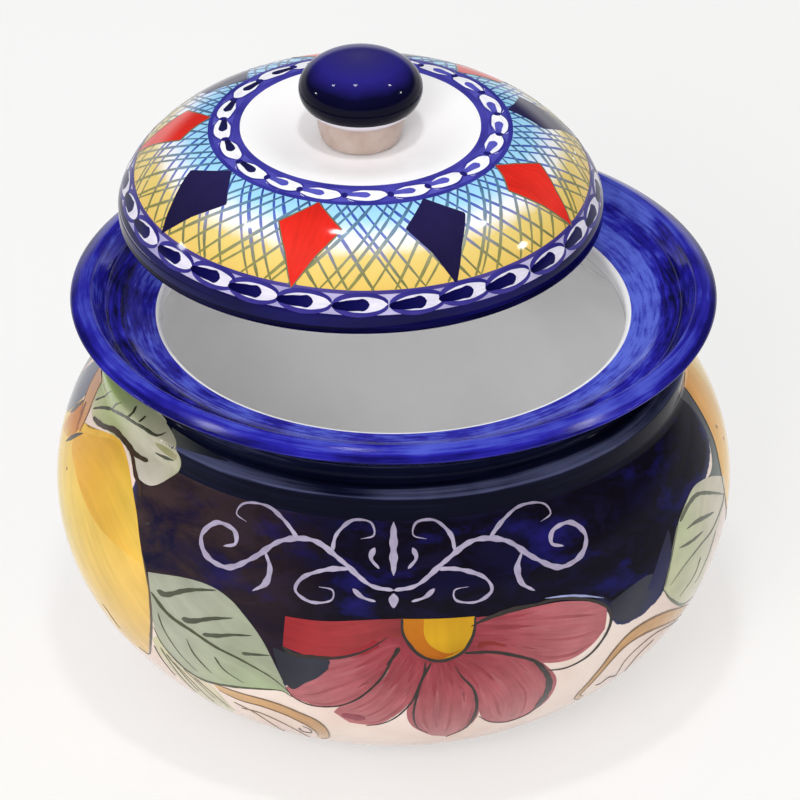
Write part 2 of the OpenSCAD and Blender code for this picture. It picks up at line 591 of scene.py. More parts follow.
def arc(x: float, y: float, a: float, c: float, start: float, end: float, steps: int) -> np.ndarray:
    """Points on an ellipse: centre plus half widths times the cosine and sine of the angle.

    Args:
        x: Radius of the centre.
        y: Height of the centre.
        a: Half width.
        c: Half height.
        start: First angle in degrees.
        end: Last angle in degrees.
        steps: Number of steps.

    Returns:
        Radius and height of each point.
    """
    t = np.radians(np.linspace(start, end, steps + 1))
    return np.stack([x + a * np.cos(t), y + c * np.sin(t)], axis=1)


def bend(p: tuple, k: tuple, q: tuple, steps: int) -> np.ndarray:
    """Points on the quadratic curve that leaves p and reaches q along the lines to corner k.

    Args:
        p: First point.
        k: Corner.
        q: Last point.
        steps: Number of steps.

    Returns:
        Radius and height of each point.
    """
    t = np.linspace(0, 1, steps + 1)[:, None]
    return (1 - t) ** 2 * np.array(p) + 2 * t * (1 - t) * np.array(k) + t**2 * np.array(q)


def line(p: tuple, q: tuple, steps: int) -> np.ndarray:
    """Evenly spaced points from p to q."""
    t = np.linspace(0, 1, steps + 1)[:, None]
    return (1 - t) * np.array(p) + t * np.array(q)


def lengths(points: np.ndarray) -> np.ndarray:
    """Length of a path from its start to each of its points."""
    return np.r_[0.0, np.cumsum(np.linalg.norm(np.diff(points, axis=0), axis=1))]


def half_height(a: float, c: float, r: float) -> float:
    """Height above its middle at which an ellipse of half widths a and c has radius r."""
    return c * math.sqrt(1 - (r / a) ** 2)


@dataclass
class Outline:
    """A turned form's outline, and which finish each stretch of it takes."""

    points: list[np.ndarray] = field(default_factory=list)
    zones: list[int] = field(default_factory=list)

    def add(self, stretch: np.ndarray, zone: int) -> None:
        """Adds a stretch of outline in one finish."""
        self.points.append(stretch)
        self.zones += [zone] * len(stretch)

    def closed(self, skin: float) -> tuple[np.ndarray, np.ndarray]:
        """Joins the stretches and draws the surface in by a skin's thickness.

        A point moves along the mean of the normals of the two edges that meet there.

        Args:
            skin: Distance in millimetres.

        Returns:
            The points, and the zone of the edge that ends at each one.
        """
        points, zones = np.concatenate(self.points), np.array(self.zones)
        keep = np.r_[True, np.linalg.norm(np.diff(points, axis=0), axis=1) > 1e-4]
        points, zones = points[keep], zones[keep]
        edge = np.diff(points, axis=0)
        normal = np.stack([edge[:, 1], -edge[:, 0]], axis=1)
        normal /= np.linalg.norm(normal, axis=1)[:, None]
        mean = np.zeros_like(points)
        mean[:-1] += normal
        mean[1:] += normal
        mean /= np.linalg.norm(mean, axis=1)[:, None]
        moved = points - skin * mean
        moved[[0, -1], 0] = 0.0
        return moved, zones


@dataclass
class Canvas:
    """The painted side of a turned form.

    A spot on it is an angle round the form, in degrees from the front and positive to the
    right, and a mark in millimetres that says how far along the outline it lies. On the jar the
    mark is a height, and on the lid it is the length of outline from the crown's centre.
    """

    points: np.ndarray
    marks: np.ndarray
    side: float
    centre: tuple[float, float]

    def __post_init__(self) -> None:
        """Works out the length and the slope at each point of the outline."""
        self.along = lengths(self.points)
        self.slope = np.gradient(self.points, self.along, axis=0)

    def radius(self, along: np.ndarray) -> np.ndarray:
        """Radius at a length along the outline."""
        return np.interp(along, self.along, self.points[:, 0])

    def track(self, spots: np.ndarray) -> np.ndarray:
        """Turns the spots' marks into lengths along the outline."""
        return np.stack([spots[:, 0], np.interp(spots[:, 1], self.marks, self.along)], axis=1)

    def place(
        self, angle: np.ndarray, along: np.ndarray, lift: np.ndarray | float
    ) -> tuple[np.ndarray, np.ndarray]:
        """Finds points above the surface.

        Args:
            angle: Angles in degrees.
            along: Lengths along the outline.
            lift: Distance outwards.

        Returns:
            The points in metres, and the unit normals.
        """
        r, z = (np.interp(along, self.along, self.points[:, i]) for i in (0, 1))
        dr, dz = (np.interp(along, self.along, self.slope[:, i]) for i in (0, 1))
        size = np.hypot(dr, dz)
        nr, nz = self.side * dz / size, -self.side * dr / size
        t = np.radians(angle)
        r, z = r + lift * nr, z + lift * nz
        x, y = self.centre
        points = np.stack([x + r * np.sin(t), y - r * np.cos(t), z + 0 * t], axis=-1) * MM
        normals = np.stack([nr * np.sin(t), -nr * np.cos(t), nz + 0 * t], axis=-1)
        return points, normals


# ---------------------------------------------------------------- meshes


def dress(name: str, mesh: Mesh, materials: list[Material], body: str) -> Piece:
    """Makes an object of a mesh and lets it ride on a body.

    Args:
        name: The piece's name.
        mesh: Its mesh, in place.
        materials: Its finishes.
        body: The body that carries it.

    Returns:
        The object.
    """
    for material in materials:
        mesh.materials.append(material)
    piece = bpy.data.objects.new(name, mesh)
    bpy.context.scene.collection.objects.link(piece)
    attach(piece, body)
    log.info("%s: %d faces on %s", name, len(mesh.polygons), body)
    return piece


def turned_mesh(
    name: str,
    points: np.ndarray,
    zones: np.ndarray,
    centre: tuple[float, float],
    turns: int,
    wheel_r: float,
) -> Mesh:
    """Turns a closed outline round the vertical through centre.

    Point (i, j) of the grid lies at angle 2 pi j / turns and at outline point i. The first and
    last outline points lie on the axis, and each is one vertex, with a fan of triangles.

    Args:
        name: The mesh's name.
        points: Radius and height of the outline, from axis to axis.
        zones: Finish of the edge that ends at each point.
        centre: X and Y of the axis.
        turns: Number of steps round.
        wheel_r: Radius at which the wheel attribute measures lengths round the form.

    Returns:
        The mesh, with its wheel attribute.
    """
    t = np.linspace(0, 2 * np.pi, turns, endpoint=False)
    ring = points[1:-1]
    x = centre[0] + ring[:, :1] * np.sin(t)
    y = centre[1] - ring[:, :1] * np.cos(t)
    z = np.repeat(ring[:, 1:], turns, axis=1)
    grid = np.stack([x, y, z], axis=-1).reshape(-1, 3)
    poles = np.array([[*centre, points[0, 1]], [*centre, points[-1, 1]]])
    co = np.concatenate([grid, poles]) * MM
    rows = len(ring)
    i, j = np.meshgrid(np.arange(rows - 1), np.arange(turns), indexing="ij")
    k = (j + 1) % turns
    quads = np.stack([i * turns + j, i * turns + k, (i + 1) * turns + k, (i + 1) * turns + j], -1)
    j, k = np.arange(turns), (np.arange(turns) + 1) % turns
    last = (rows - 1) * turns
    start = np.stack([np.full(turns, rows * turns), k, j], -1)
    end = np.stack([np.full(turns, rows * turns + 1), last + j, last + k], -1)
    faces = quads.reshape(-1, 4).tolist() + start.tolist() + end.tolist()
    mesh = bpy.data.meshes.new(name)
    mesh.from_pydata(co.tolist(), [], faces)
    quad_zones = np.repeat(zones[2:-1], turns)
    face_zones = np.r_[quad_zones, np.full(turns, zones[1]), np.full(turns, zones[-1])]
    mesh.polygons.foreach_set("material_index", face_zones.astype(np.int32))
    mesh.polygons.foreach_set("use_smooth", np.ones(len(faces), bool))
    length = lengths(points)
    wheel = np.stack(
        [
            np.tile(wheel_r * np.sin(t), rows),
            np.tile(wheel_r * np.cos(t), rows),
            np.repeat(length[1:-1], turns),
        ],
        axis=-1,
    )
    ends = np.array([[0, 0, length[0]], [0, 0, length[-1]]])
    store = mesh.attributes.new(WHEEL, "FLOAT_VECTOR", "POINT")
    store.data.foreach_set("vector", (np.concatenate([wheel, ends]) * MM).astype(np.float32).ravel())
    mesh.update()
    return mesh


class Tip(Enum):
    """How a brush stroke's width runs from its start to its end."""

    EVEN = "even"
    TAIL = "tail"
    BLADE = "blade"
    DROP = "drop"
    OVAL = "oval"

    def width(self, u: np.ndarray) -> np.ndarray:
        """Gives the width along a stroke.

        Args:
            u: Shares of the stroke's length, from 0 to 1.

        Returns:
            The share of the full width at each one.
        """
        if self is Tip.EVEN:
            return np.clip(4 * u * (1 - u), 0, 1) ** 0.2
        if self is Tip.TAIL:
            return np.clip(12 * u, 0, 1) ** 0.5 * (1 - u) ** 0.55
        if self is Tip.BLADE:
            return np.sin(np.pi * np.clip(u, 0, 1)) ** 0.7
        if self is Tip.DROP:
            return np.clip(u, 0, 1) ** 0.34 * np.clip(6 * (1 - u), 0, 1) ** 0.5
        return np.sqrt(np.clip(1 - (2 * u - 1) ** 2, 0, 1))


Spot = tuple[float, float]


def curve(spots: tuple[Spot, ...], samples: int, sharp: bool = False) -> np.ndarray:
    """Runs a curve through spots.

    Between two spots it is the cubic whose slope at each spot is half the step between the
    spot's neighbours, or a straight line where the curve is sharp.

    Args:
        spots: Angle and mark of each spot.
        samples: Number of points on the curve, spread evenly over its length.
        sharp: Whether the spots are corners.

    Returns:
        Angle and mark of each sample.
    """
    p = np.array(spots, float)
    fine = max(8 * len(p), 2 * samples)
    if sharp or len(p) == 2:
        size = lengths(p)
        goal = np.linspace(0, size[-1], samples)
        return np.stack([np.interp(goal, size, p[:, i]) for i in (0, 1)], axis=1)
    p = np.concatenate([[2 * p[0] - p[1]], p, [2 * p[-1] - p[-2]]])
    t = np.linspace(0, len(p) - 3, fine)
    i = np.minimum(t.astype(int), len(p) - 4)
    f = (t - i)[:, None]
    a, b, c, d = p[i], p[i + 1], p[i + 2], p[i + 3]
    q = 0.5 * (2 * b + (c - a) * f + (2 * a - 5 * b + 4 * c - d) * f**2 + (3 * b - a - 3 * c + d) * f**3)
    step = np.diff(q, axis=0) * [2.0, 1.0]
    size = np.r_[0.0, np.cumsum(np.hypot(step[:, 0], step[:, 1]))]
    goal = np.linspace(0, size[-1], samples)
    return np.stack([np.interp(goal, size, q[:, k]) for k in (0, 1)], axis=1)


@dataclass(frozen=True)
class Film:
    """A filled shape: colour between two curves that run the same way.

    Attributes:
        left: Spots along one side.
        right: Spots along the other side.
        colours: Hex colours along the left side, evenly spaced.
        far: Hex colours along the right side, or none for the same.
        level: Order above other films.
        sharp: Whether the spots are corners.
    """

    left: tuple[Spot, ...]
    right: tuple[Spot, ...]
    colours: tuple[str, ...]
    far: tuple[str, ...] = ()
    level: float = 2
    sharp: bool = False


@dataclass(frozen=True)
class Stroke:
    """A brush line along a curve.

    Attributes:
        spots: Spots from start to end.
        width: Full width in millimetres.
        colours: Hex colours along it, evenly spaced.
        tip: How the width runs.
        level: Order above other films.
        sharp: Whether the spots are corners.
    """

    spots: tuple[Spot, ...]
    width: float
    colours: tuple[str, ...]
    tip: Tip = Tip.EVEN
    level: float = 6
    sharp: bool = False


def blend(codes: tuple[str, ...], u: np.ndarray) -> np.ndarray:
    """Runs through a row of evenly spaced hex colours, straight from one to the next.

    Args:
        codes: The hex colours.
        u: Shares of the row, from 0 to 1.

    Returns:
        Red, green and blue, in sRGB, at each share.
    """
    row = np.array([srgb(code) for code in codes])
    at = np.linspace(0, 1, len(row))
    return np.stack([np.interp(u, at, row[:, k]) for k in range(3)], axis=-1)


@dataclass
class Painting:
    """Brush work in one kind of colour, joined into one mesh of closed films."""

    canvas: Canvas
    step: float = 1.6  # greatest spacing of a film's points, in millimetres
    film: float = 0.028  # rise of one level above the next
    sunk: float = 0.2  # how far a film's underside lies inside the wall
    tremor: float = 0.08  # how far a line's width wavers
    parts: list[tuple[np.ndarray, ...]] = field(default_factory=list)
    count: int = 0

    def measure(self, path: np.ndarray) -> np.ndarray:
        """Measures a path on the surface.

        Args:
            path: Angle and length along the outline of each point.

        Returns:
            The length of path up to each point, in millimetres.
        """
        step = np.diff(path, axis=0)
        r = np.maximum(self.canvas.radius(path[1:, 1]), 1.0)
        return np.r_[0.0, np.cumsum(np.hypot(np.radians(step[:, 0]) * r, step[:, 1]))]

    def fill(self, film: Film, turn: float = 0.0) -> None:
        """Lays a filled shape.

        Args:
            film: The shape.
            turn: Angle in degrees by which it is turned round the form.
        """
        rough = [self.canvas.track(curve(s, 24, film.sharp)) for s in (film.left, film.right)]
        rows = int(max(self.measure(side)[-1] for side in rough) / self.step) + 2
        sides = [
            self.canvas.track(curve(s, rows + 1, film.sharp)) + [turn, 0] for s in (film.left, film.right)
        ]
        self.lay(sides[0], sides[1], film.colours, film.far or film.colours, film.level)

    def hairs(
        self,
        film: Film,
        count: int,
        width: float,
        tones: tuple[str, ...],
        reach: tuple[float, float],
        turn: float = 0.0,
    ) -> None:
        """Lays the fine strokes that a brush's hairs leave in a filled shape.

        Each one keeps its share of the way between the film's two sides.

        Args:
            film: The filled shape.
            count: How many strokes.
            width: Their width in millimetres.
            tones: Hex colours, taken in turn.
            reach: Shares of the film's length at which the strokes start and end.
            turn: Angle in degrees by which they are turned round the form.
        """
        left, right = (curve(side, 25, film.sharp) for side in (film.left, film.right))
        for k in range(count):
            v = 0.04 + 0.92 * (k + 0.5 + 0.28 * math.sin(5.1 * k)) / count
            slip = 0.07 * math.sin(2.9 * k)
            start = int(24 * min(max(reach[0] + slip, 0.02), 0.8))
            end = int(24 * min(max(reach[1] + 1.6 * slip, 0.2), 0.98))
            path = ((1 - v) * left + v * right)[start : end + 1 : 3]
            if len(path) > 2:
                spots = tuple((float(x), float(z)) for x, z in path)
                wide = width * (1 + 0.35 * math.sin(3.7 * k))
                self.line(Stroke(spots, wide, (tones[k % len(tones)],), Tip.BLADE, film.level + 0.4), turn)

    def line(self, stroke: Stroke, turn: float = 0.0) -> None:
        """Lays a brush line.

        Its sides lie half its width to the left and right of the curve, at right angles to it.

        Args:
            stroke: The line.
            turn: Angle in degrees by which it is turned round the form.
        """
        rough = self.canvas.track(curve(stroke.spots, 24, stroke.sharp))
        rows = int(self.measure(rough)[-1] / (0.6 * self.step)) + 8
        path = self.canvas.track(curve(stroke.spots, rows + 1, stroke.sharp)) + [turn, 0]
        r = np.maximum(self.canvas.radius(path[:, 1]), 1.0)
        step = np.gradient(path, axis=0)
        across, up = np.radians(step[:, 0]) * r, step[:, 1]
        size = np.maximum(np.hypot(across, up), 1e-9)
        side = np.stack([np.degrees(up / size / r), -across / size], axis=1)
        along = self.measure(path)
        waver = 1 + self.tremor * (np.sin(1.3 * along) + np.sin(0.53 * along + path[0, 0]))
        u = along / along[-1]
        half = np.maximum(0.5 * stroke.width * stroke.tip.width(u) * waver, 0.06)[:, None]
        self.lay(path - half * side, path + half * side, stroke.colours, stroke.colours, stroke.level)

    def lay(
        self, left: np.ndarray, right: np.ndarray, near: tuple[str, ...], far: tuple[str, ...], level: float
    ) -> None:
        """Lays a closed film between two curves.

        Top point (i, j) lies on the straight line, in angle and length, from point i of the
        left curve to point i of the right one, at the share j of it. The underside is the same
        grid, sunk in the wall.

        Args:
            left: Angle and length along the outline of each point of one side.
            right: The same for the other side.
            near: Colours along the left side.
            far: Colours along the right side.
            level: Order above other films.
        """
        mid = (left + right) / 2
        r = np.maximum(self.canvas.radius(mid[:, 1]), 1.0)
        wide = np.hypot(np.radians(right - left)[:, 0] * r, (right - left)[:, 1])
        rows, cols = len(left), max(2, int(wide.max() / self.step) + 1) + 1
        v = np.linspace(0, 1, cols)
        spots = left[:, None, :] + v[None, :, None] * (right - left)[:, None, :]
        top, normal = self.canvas.place(spots[..., 0], spots[..., 1], self.film * level)
        under, _ = self.canvas.place(spots[..., 0], spots[..., 1], -self.sunk)
        along = self.measure(mid)
        u = along / max(along[-1], 1e-6)
        one, two = blend(near, u)[:, None, :], blend(far, u)[:, None, :]
        colour = to_linear(one + v[None, :, None] * (two - one)).reshape(-1, 3)
        brush = np.stack(
            [wide[:, None] * (v[None, :] - 0.5) + 41.0 * len(self.parts), along[:, None] + 0 * v], axis=-1
        ).reshape(-1, 2)
        n = rows * cols
        i, j = np.meshgrid(np.arange(rows - 1), np.arange(cols - 1), indexing="ij")
        a = i * cols + j
        tops = np.stack([a, a + 1, a + cols + 1, a + cols], -1).reshape(-1, 4)
        i, j = np.arange(rows - 1) * cols, np.arange(cols - 1)
        west = np.stack([i, i + cols, i + cols + n, i + n], -1)
        east = np.stack([i, i + n, i + cols + n, i + cols], -1) + [cols - 1]
        south = np.stack([j, j + n, j + 1 + n, j + 1], -1)
        north = np.stack([j, j + 1, j + 1 + n, j + n], -1) + [(rows - 1) * cols]
        faces = np.concatenate([tops, tops[:, ::-1] + n, west, east, south, north])
        corner = top[:-1, :-1]
        facing = np.cross(top[:-1, 1:] - corner, top[1:, :-1] - corner) * normal[:-1, :-1]
        if facing.sum() < 0:
            faces = faces[:, ::-1]
        points = np.concatenate([top.reshape(-1, 3), under.reshape(-1, 3)])
        twice = np.concatenate([normal.reshape(-1, 3)] * 2)
        self.parts.append(
            (points, twice, np.tile(colour, (2, 1)), np.tile(brush, (2, 1)), faces + self.count)
        )
        self.count += 2 * n

    def finish(self, name: str, material: Material, body: str, slot: str) -> Piece:
        """Joins the films into one piece.

        Args:
            name: The piece's name.
            material: Its finish.
            body: The body that carries it.
            slot: Not used.

        Returns:
            The object.
        """
        points, normals, colours, brush, faces = (
            np.concatenate([part[k] for part in self.parts]) for k in range(5)
        )
        mesh = bpy.data.meshes.new(name)
        mesh.from_pydata(points.tolist(), [], faces.tolist())
        store = mesh.color_attributes.new(PAINT, "FLOAT_COLOR", "POINT")
        store.data.foreach_set("color", np.c_[colours, np.ones(len(colours))].astype(np.float32).ravel())
        uv = mesh.uv_layers.new(name=BRUSH)
        uv.data.foreach_set("uv", brush[faces.ravel()].astype(np.float32).ravel())
        mesh.polygons.foreach_set("use_smooth", np.ones(len(faces), bool))
        mesh.update()
        mesh.normals_split_custom_set_from_vertices(normals.tolist())
        return dress(name, mesh, [material], body)


# ---------------------------------------------------------------- the jar


@dataclass
class Jar:
    """The pot: foot, belly, collar, neck, flared rim and dished lid seat, in millimetres."""

    belly_r: float
    crest_h: float
    belly_mid_h: float = 72.0
    belly_half_h: float = 84.0
    wall: float = 5.5
    floor_h: float = 8.5
    foot_w: float = 7.0
    foot_recess: float = 1.5
    throat_r: float = 78.5
    throat_round: float = 2.0
    seat_w: float = 4.5
    white_r: float = 80.7  # radius on the seat at which the cobalt ends
    shelf_t: float = 5.5
    neck_in_r: float = 87.5
    neck_wall: float = 4.5
    neck_band: float = 4.5
    ledge_w: float = 8.0
    ledge_rise: float = 2.0
    rim_rise: float = 20.0
    rim_reach: float = 18.0
    flare_lead: float = 2.0  # how far the flare runs up the neck before it turns out
    crest_rise: float = 3.4
    bevel_w: float = 7.0
    groove_w: float = 5.5
    groove_drop: float = 4.4
    seat_drop: float = 6.5
    soft: float = 1.1  # rounding that the glaze leaves on an edge
    skin: float = 0.3  # depth of the glazed surface below the CAD solid, which the films take up
    turns: int = 256

    def __post_init__(self) -> None:
        """Works out the radii and heights that follow from the sizes."""
        self.neck_r = self.neck_in_r + self.neck_wall
        self.collar_r = self.neck_r + self.ledge_w
        self.rim_r = self.neck_r + self.rim_reach
        self.rim_h = self.crest_h - self.crest_rise
        self.collar_h = self.rim_h - self.rim_rise
        self.seat_h = self.rim_h - self.seat_drop
        self.groove_r = self.rim_r - self.bevel_w - self.groove_w
        self.seat_out_r = self.throat_r + self.throat_round + self.seat_w

    def belly(self, steps: int) -> np.ndarray:
        """The belly's outside, from the foot up to the collar: an arc of an ellipse.

        Args:
            steps: Number of steps.

        Returns:
            Radius and height of each point.
        """
        a, c, mid = self.belly_r, self.belly_half_h, self.belly_mid_h
        low = -math.degrees(math.asin(mid / c))
        top = math.degrees(math.asin(half_height(a, c, self.collar_r) / c))
        return arc(0, mid, a, c, low, top, steps)

    def foot(self) -> np.ndarray:
        """The foot ring and the recess inside it.

        Returns:
            Radius and height of each point.
        """
        r, lift = self.belly(1)[0, 0], self.foot_recess
        inner = r - self.foot_w
        return np.concatenate(
            [
                line((0, lift), (inner, lift), 8),
                bend((inner, lift), (inner + 0.6, 0), (inner + lift, 0), 4),
                line((inner + lift, 0), (r, 0), 4),
            ]
        )

    def neck(self) -> np.ndarray:
        """The collar, its ledge, the neck and the flare out to the rim.

        Returns:
            Radius and height of each point.
        """
        s, lead, low = self.soft, self.flare_lead, self.collar_h + self.ledge_rise
        flare = low + self.neck_band
        shoulder = (self.collar_r, self.collar_h - s)
        ledge = (self.collar_r - 1.4 * s, self.collar_h + 0.3)
        under = (self.rim_r - 2 * s, self.rim_h - 2 * s)
        return np.concatenate(
            [
                line((self.collar_r, self.belly(4)[-1, 1]), shoulder, 4)[1:],
                bend(shoulder, (self.collar_r, self.collar_h), ledge, 6),
                bend((self.neck_r + 2, low), (self.neck_r, low), (self.neck_r, low + 1.5), 6),
                bend((self.neck_r, flare), (self.neck_r + lead, flare + 1.5 * lead), under, 16),
            ]
        )

    def rim(self) -> np.ndarray:
        """The rim's rounded edge, its bevel and the rounded crest.

        Returns:
            Radius and height of each point.
        """
        s, crest_r = self.soft, self.rim_r - self.bevel_w
        under = (self.rim_r - 2 * s, self.rim_h - 2 * s)
        edge = (self.rim_r - 0.2, self.rim_h)
        bevel = (self.rim_r - self.bevel_w / 2, self.rim_h + 0.68 * self.crest_rise)
        brow = (crest_r + 1.2 * s, self.crest_h - 0.25 * s)
        inner = (crest_r - s, self.crest_h - 0.9 * s)
        return np.concatenate(
            [
                bend(under, (self.rim_r, self.rim_h - s), edge, 8),
                bend(edge, bevel, brow, 8),
                bend(brow, (crest_r, self.crest_h + 0.2 * s), inner, 8),
            ]
        )

    def dish(self) -> np.ndarray:
        """The rim's inner side: groove, low swell and the cobalt part of the flat seat.

        Returns:
            Radius and height of each point.
        """
        s, crest_r, low = self.soft, self.rim_r - self.bevel_w, self.rim_h - self.groove_drop
        middle = (self.groove_r + self.seat_out_r) / 2
        inner = (crest_r - s, self.crest_h - 0.9 * s)
        wall = (self.groove_r + s, low + 2 * s)
        bed = (self.groove_r - 1.4 * s, low)
        swell = (middle, low + 0.1)
        seat = (self.seat_out_r, self.seat_h)
        return np.concatenate(
            [
                line(inner, wall, 6),
                bend(wall, (self.groove_r, low), bed, 8),
                bend(bed, (middle + 2.0, low + 1.2), swell, 8),
                bend(swell, (self.seat_out_r + self.seat_w / 2, self.seat_h), seat, 8),
                line(seat, (self.white_r, self.seat_h), 2),
            ]
        )

    def inside(self) -> np.ndarray:
        """The white seat, the throat, the shelf's underside and the belly down to the floor.

        Returns:
            Radius and height of each point.
        """
        a, c = self.belly_r - self.wall, self.belly_half_h - self.wall
        top = math.degrees(math.asin(half_height(a, c, self.neck_in_r) / c))
        low = -math.degrees(math.asin((self.belly_mid_h - 2 * self.floor_h) / c))
        end = arc(0, self.belly_mid_h, a, c, low, low, 0)[0]
        drop = end[1] - self.floor_h
        corner = end[0] - (a / c) ** 2 * (self.belly_mid_h - end[1]) / end[0] * drop
        shelf, soft = self.seat_h - self.shelf_t, self.throat_round
        return np.concatenate(
            [
                line((self.white_r, self.seat_h), (self.throat_r + soft, self.seat_h), 2),
                arc(self.throat_r + soft, self.seat_h - soft, soft, soft, 90, 180, 8),
                line((self.throat_r, self.seat_h - soft), (self.throat_r, shelf), 3),
                bend(
                    (self.throat_r, shelf),
                    (self.neck_in_r, shelf),
                    (self.neck_in_r, shelf - self.shelf_t),
                    8,
                ),
                arc(0, self.belly_mid_h, a, c, top, low, 40),
                bend(tuple(end), (corner, self.floor_h), (2 * corner - end[0], self.floor_h), 8),
                line((2 * corner - end[0], self.floor_h), (0, self.floor_h), 8),
            ]
        )

    def build(self, finishes: list[Material], navy_edge: tuple[Spot, ...]) -> Piece:
        """Makes the glazed pot.

        Args:
            finishes: Foot, belly, neck, rim, dish and inside, in that order.
            navy_edge: Corners of the navy ground's lower edge on one half of the jar.

        Returns:
            The object, which stands for the CAD node.
        """
        shape = Outline()
        for zone, stretch in enumerate(
            (self.foot(), self.belly(72), self.neck(), self.rim(), self.dish(), self.inside())
        ):
            shape.add(stretch, zone)
        points, zones = shape.closed(self.skin)
        points[:, 1] = np.maximum(points[:, 1], 0.0)
        mesh = turned_mesh("jar_pot", points, zones, (0.0, 0.0), self.turns, self.belly_r)
        depth = self.navy_depth(points[1:-1], navy_edge)
        store = mesh.attributes.new(NAVY_DEPTH, "FLOAT", "POINT")
        store.data.foreach_set("value", np.r_[depth.ravel(), 0.0, 0.0].astype(np.float32))
        pot = dress("jar_pot", mesh, finishes, "jar")
        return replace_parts(pot, "jar_body")

    def navy_depth(self, ring: np.ndarray, edge: tuple[Spot, ...]) -> np.ndarray:
        """How far inside the navy ground each point of the turned form lies.

        It is the distance to the nearest stretch of the ground's lower edge, on the form
        unrolled at the belly's width, and is negative below that edge.

        Args:
            ring: Radius and height of the outline's points.
            edge: Angle and height of the edge's corners on one half of the jar, which repeats.

        Returns:
            Distances in millimetres, one row for each outline point.
        """
        one = np.array(edge)
        bends = np.concatenate([one + [180 * k, 0] for k in range(-2, 4)])
        angle = np.linspace(0, 360, self.turns, endpoint=False)
        per_degree = math.pi / 180 * self.belly_r
        x, z = np.meshgrid(angle, ring[:, 1])
        above = z > np.interp(x, bends[:, 0], bends[:, 1])
        spot = np.stack([x * per_degree, z], axis=-1)
        best = np.full(x.shape, np.inf)
        flat = bends * [per_degree, 1]
        for p, q in zip(flat[:-1], flat[1:]):
            share = np.clip((spot - p) @ (q - p) / max((q - p) @ (q - p), 1e-9), 0, 1)
            best = np.minimum(best, np.linalg.norm(spot - p - share[..., None] * (q - p), axis=-1))
        return np.where(above, best, -best)

    def canvas(self) -> Canvas:
        """The painted outside, from the foot up to the rim's edge, marked by its height.

        Returns:
            The canvas.
        """
        points = np.concatenate([self.belly(200), self.neck(), self.rim()[1:9]])
        points = points[np.r_[True, np.diff(points[:, 1]) > 1e-4]]
        points = draw_in(points, self.skin)
        return Canvas(points, points[:, 1], 1.0, (0.0, 0.0))


def draw_in(points: np.ndarray, skin: float) -> np.ndarray:
    """Moves an open outline inwards along its own normals.

    Args:
        points: Radius and height of its points, from the bottom up.
        skin: Distance in millimetres.

    Returns:
        The moved points.
    """
    slope = np.gradient(points, axis=0)
    normal = np.stack([slope[:, 1], -slope[:, 0]], axis=1)
    return points - skin * normal / np.linalg.norm(normal, axis=1)[:, None]


# ---------------------------------------------------------------- the lid


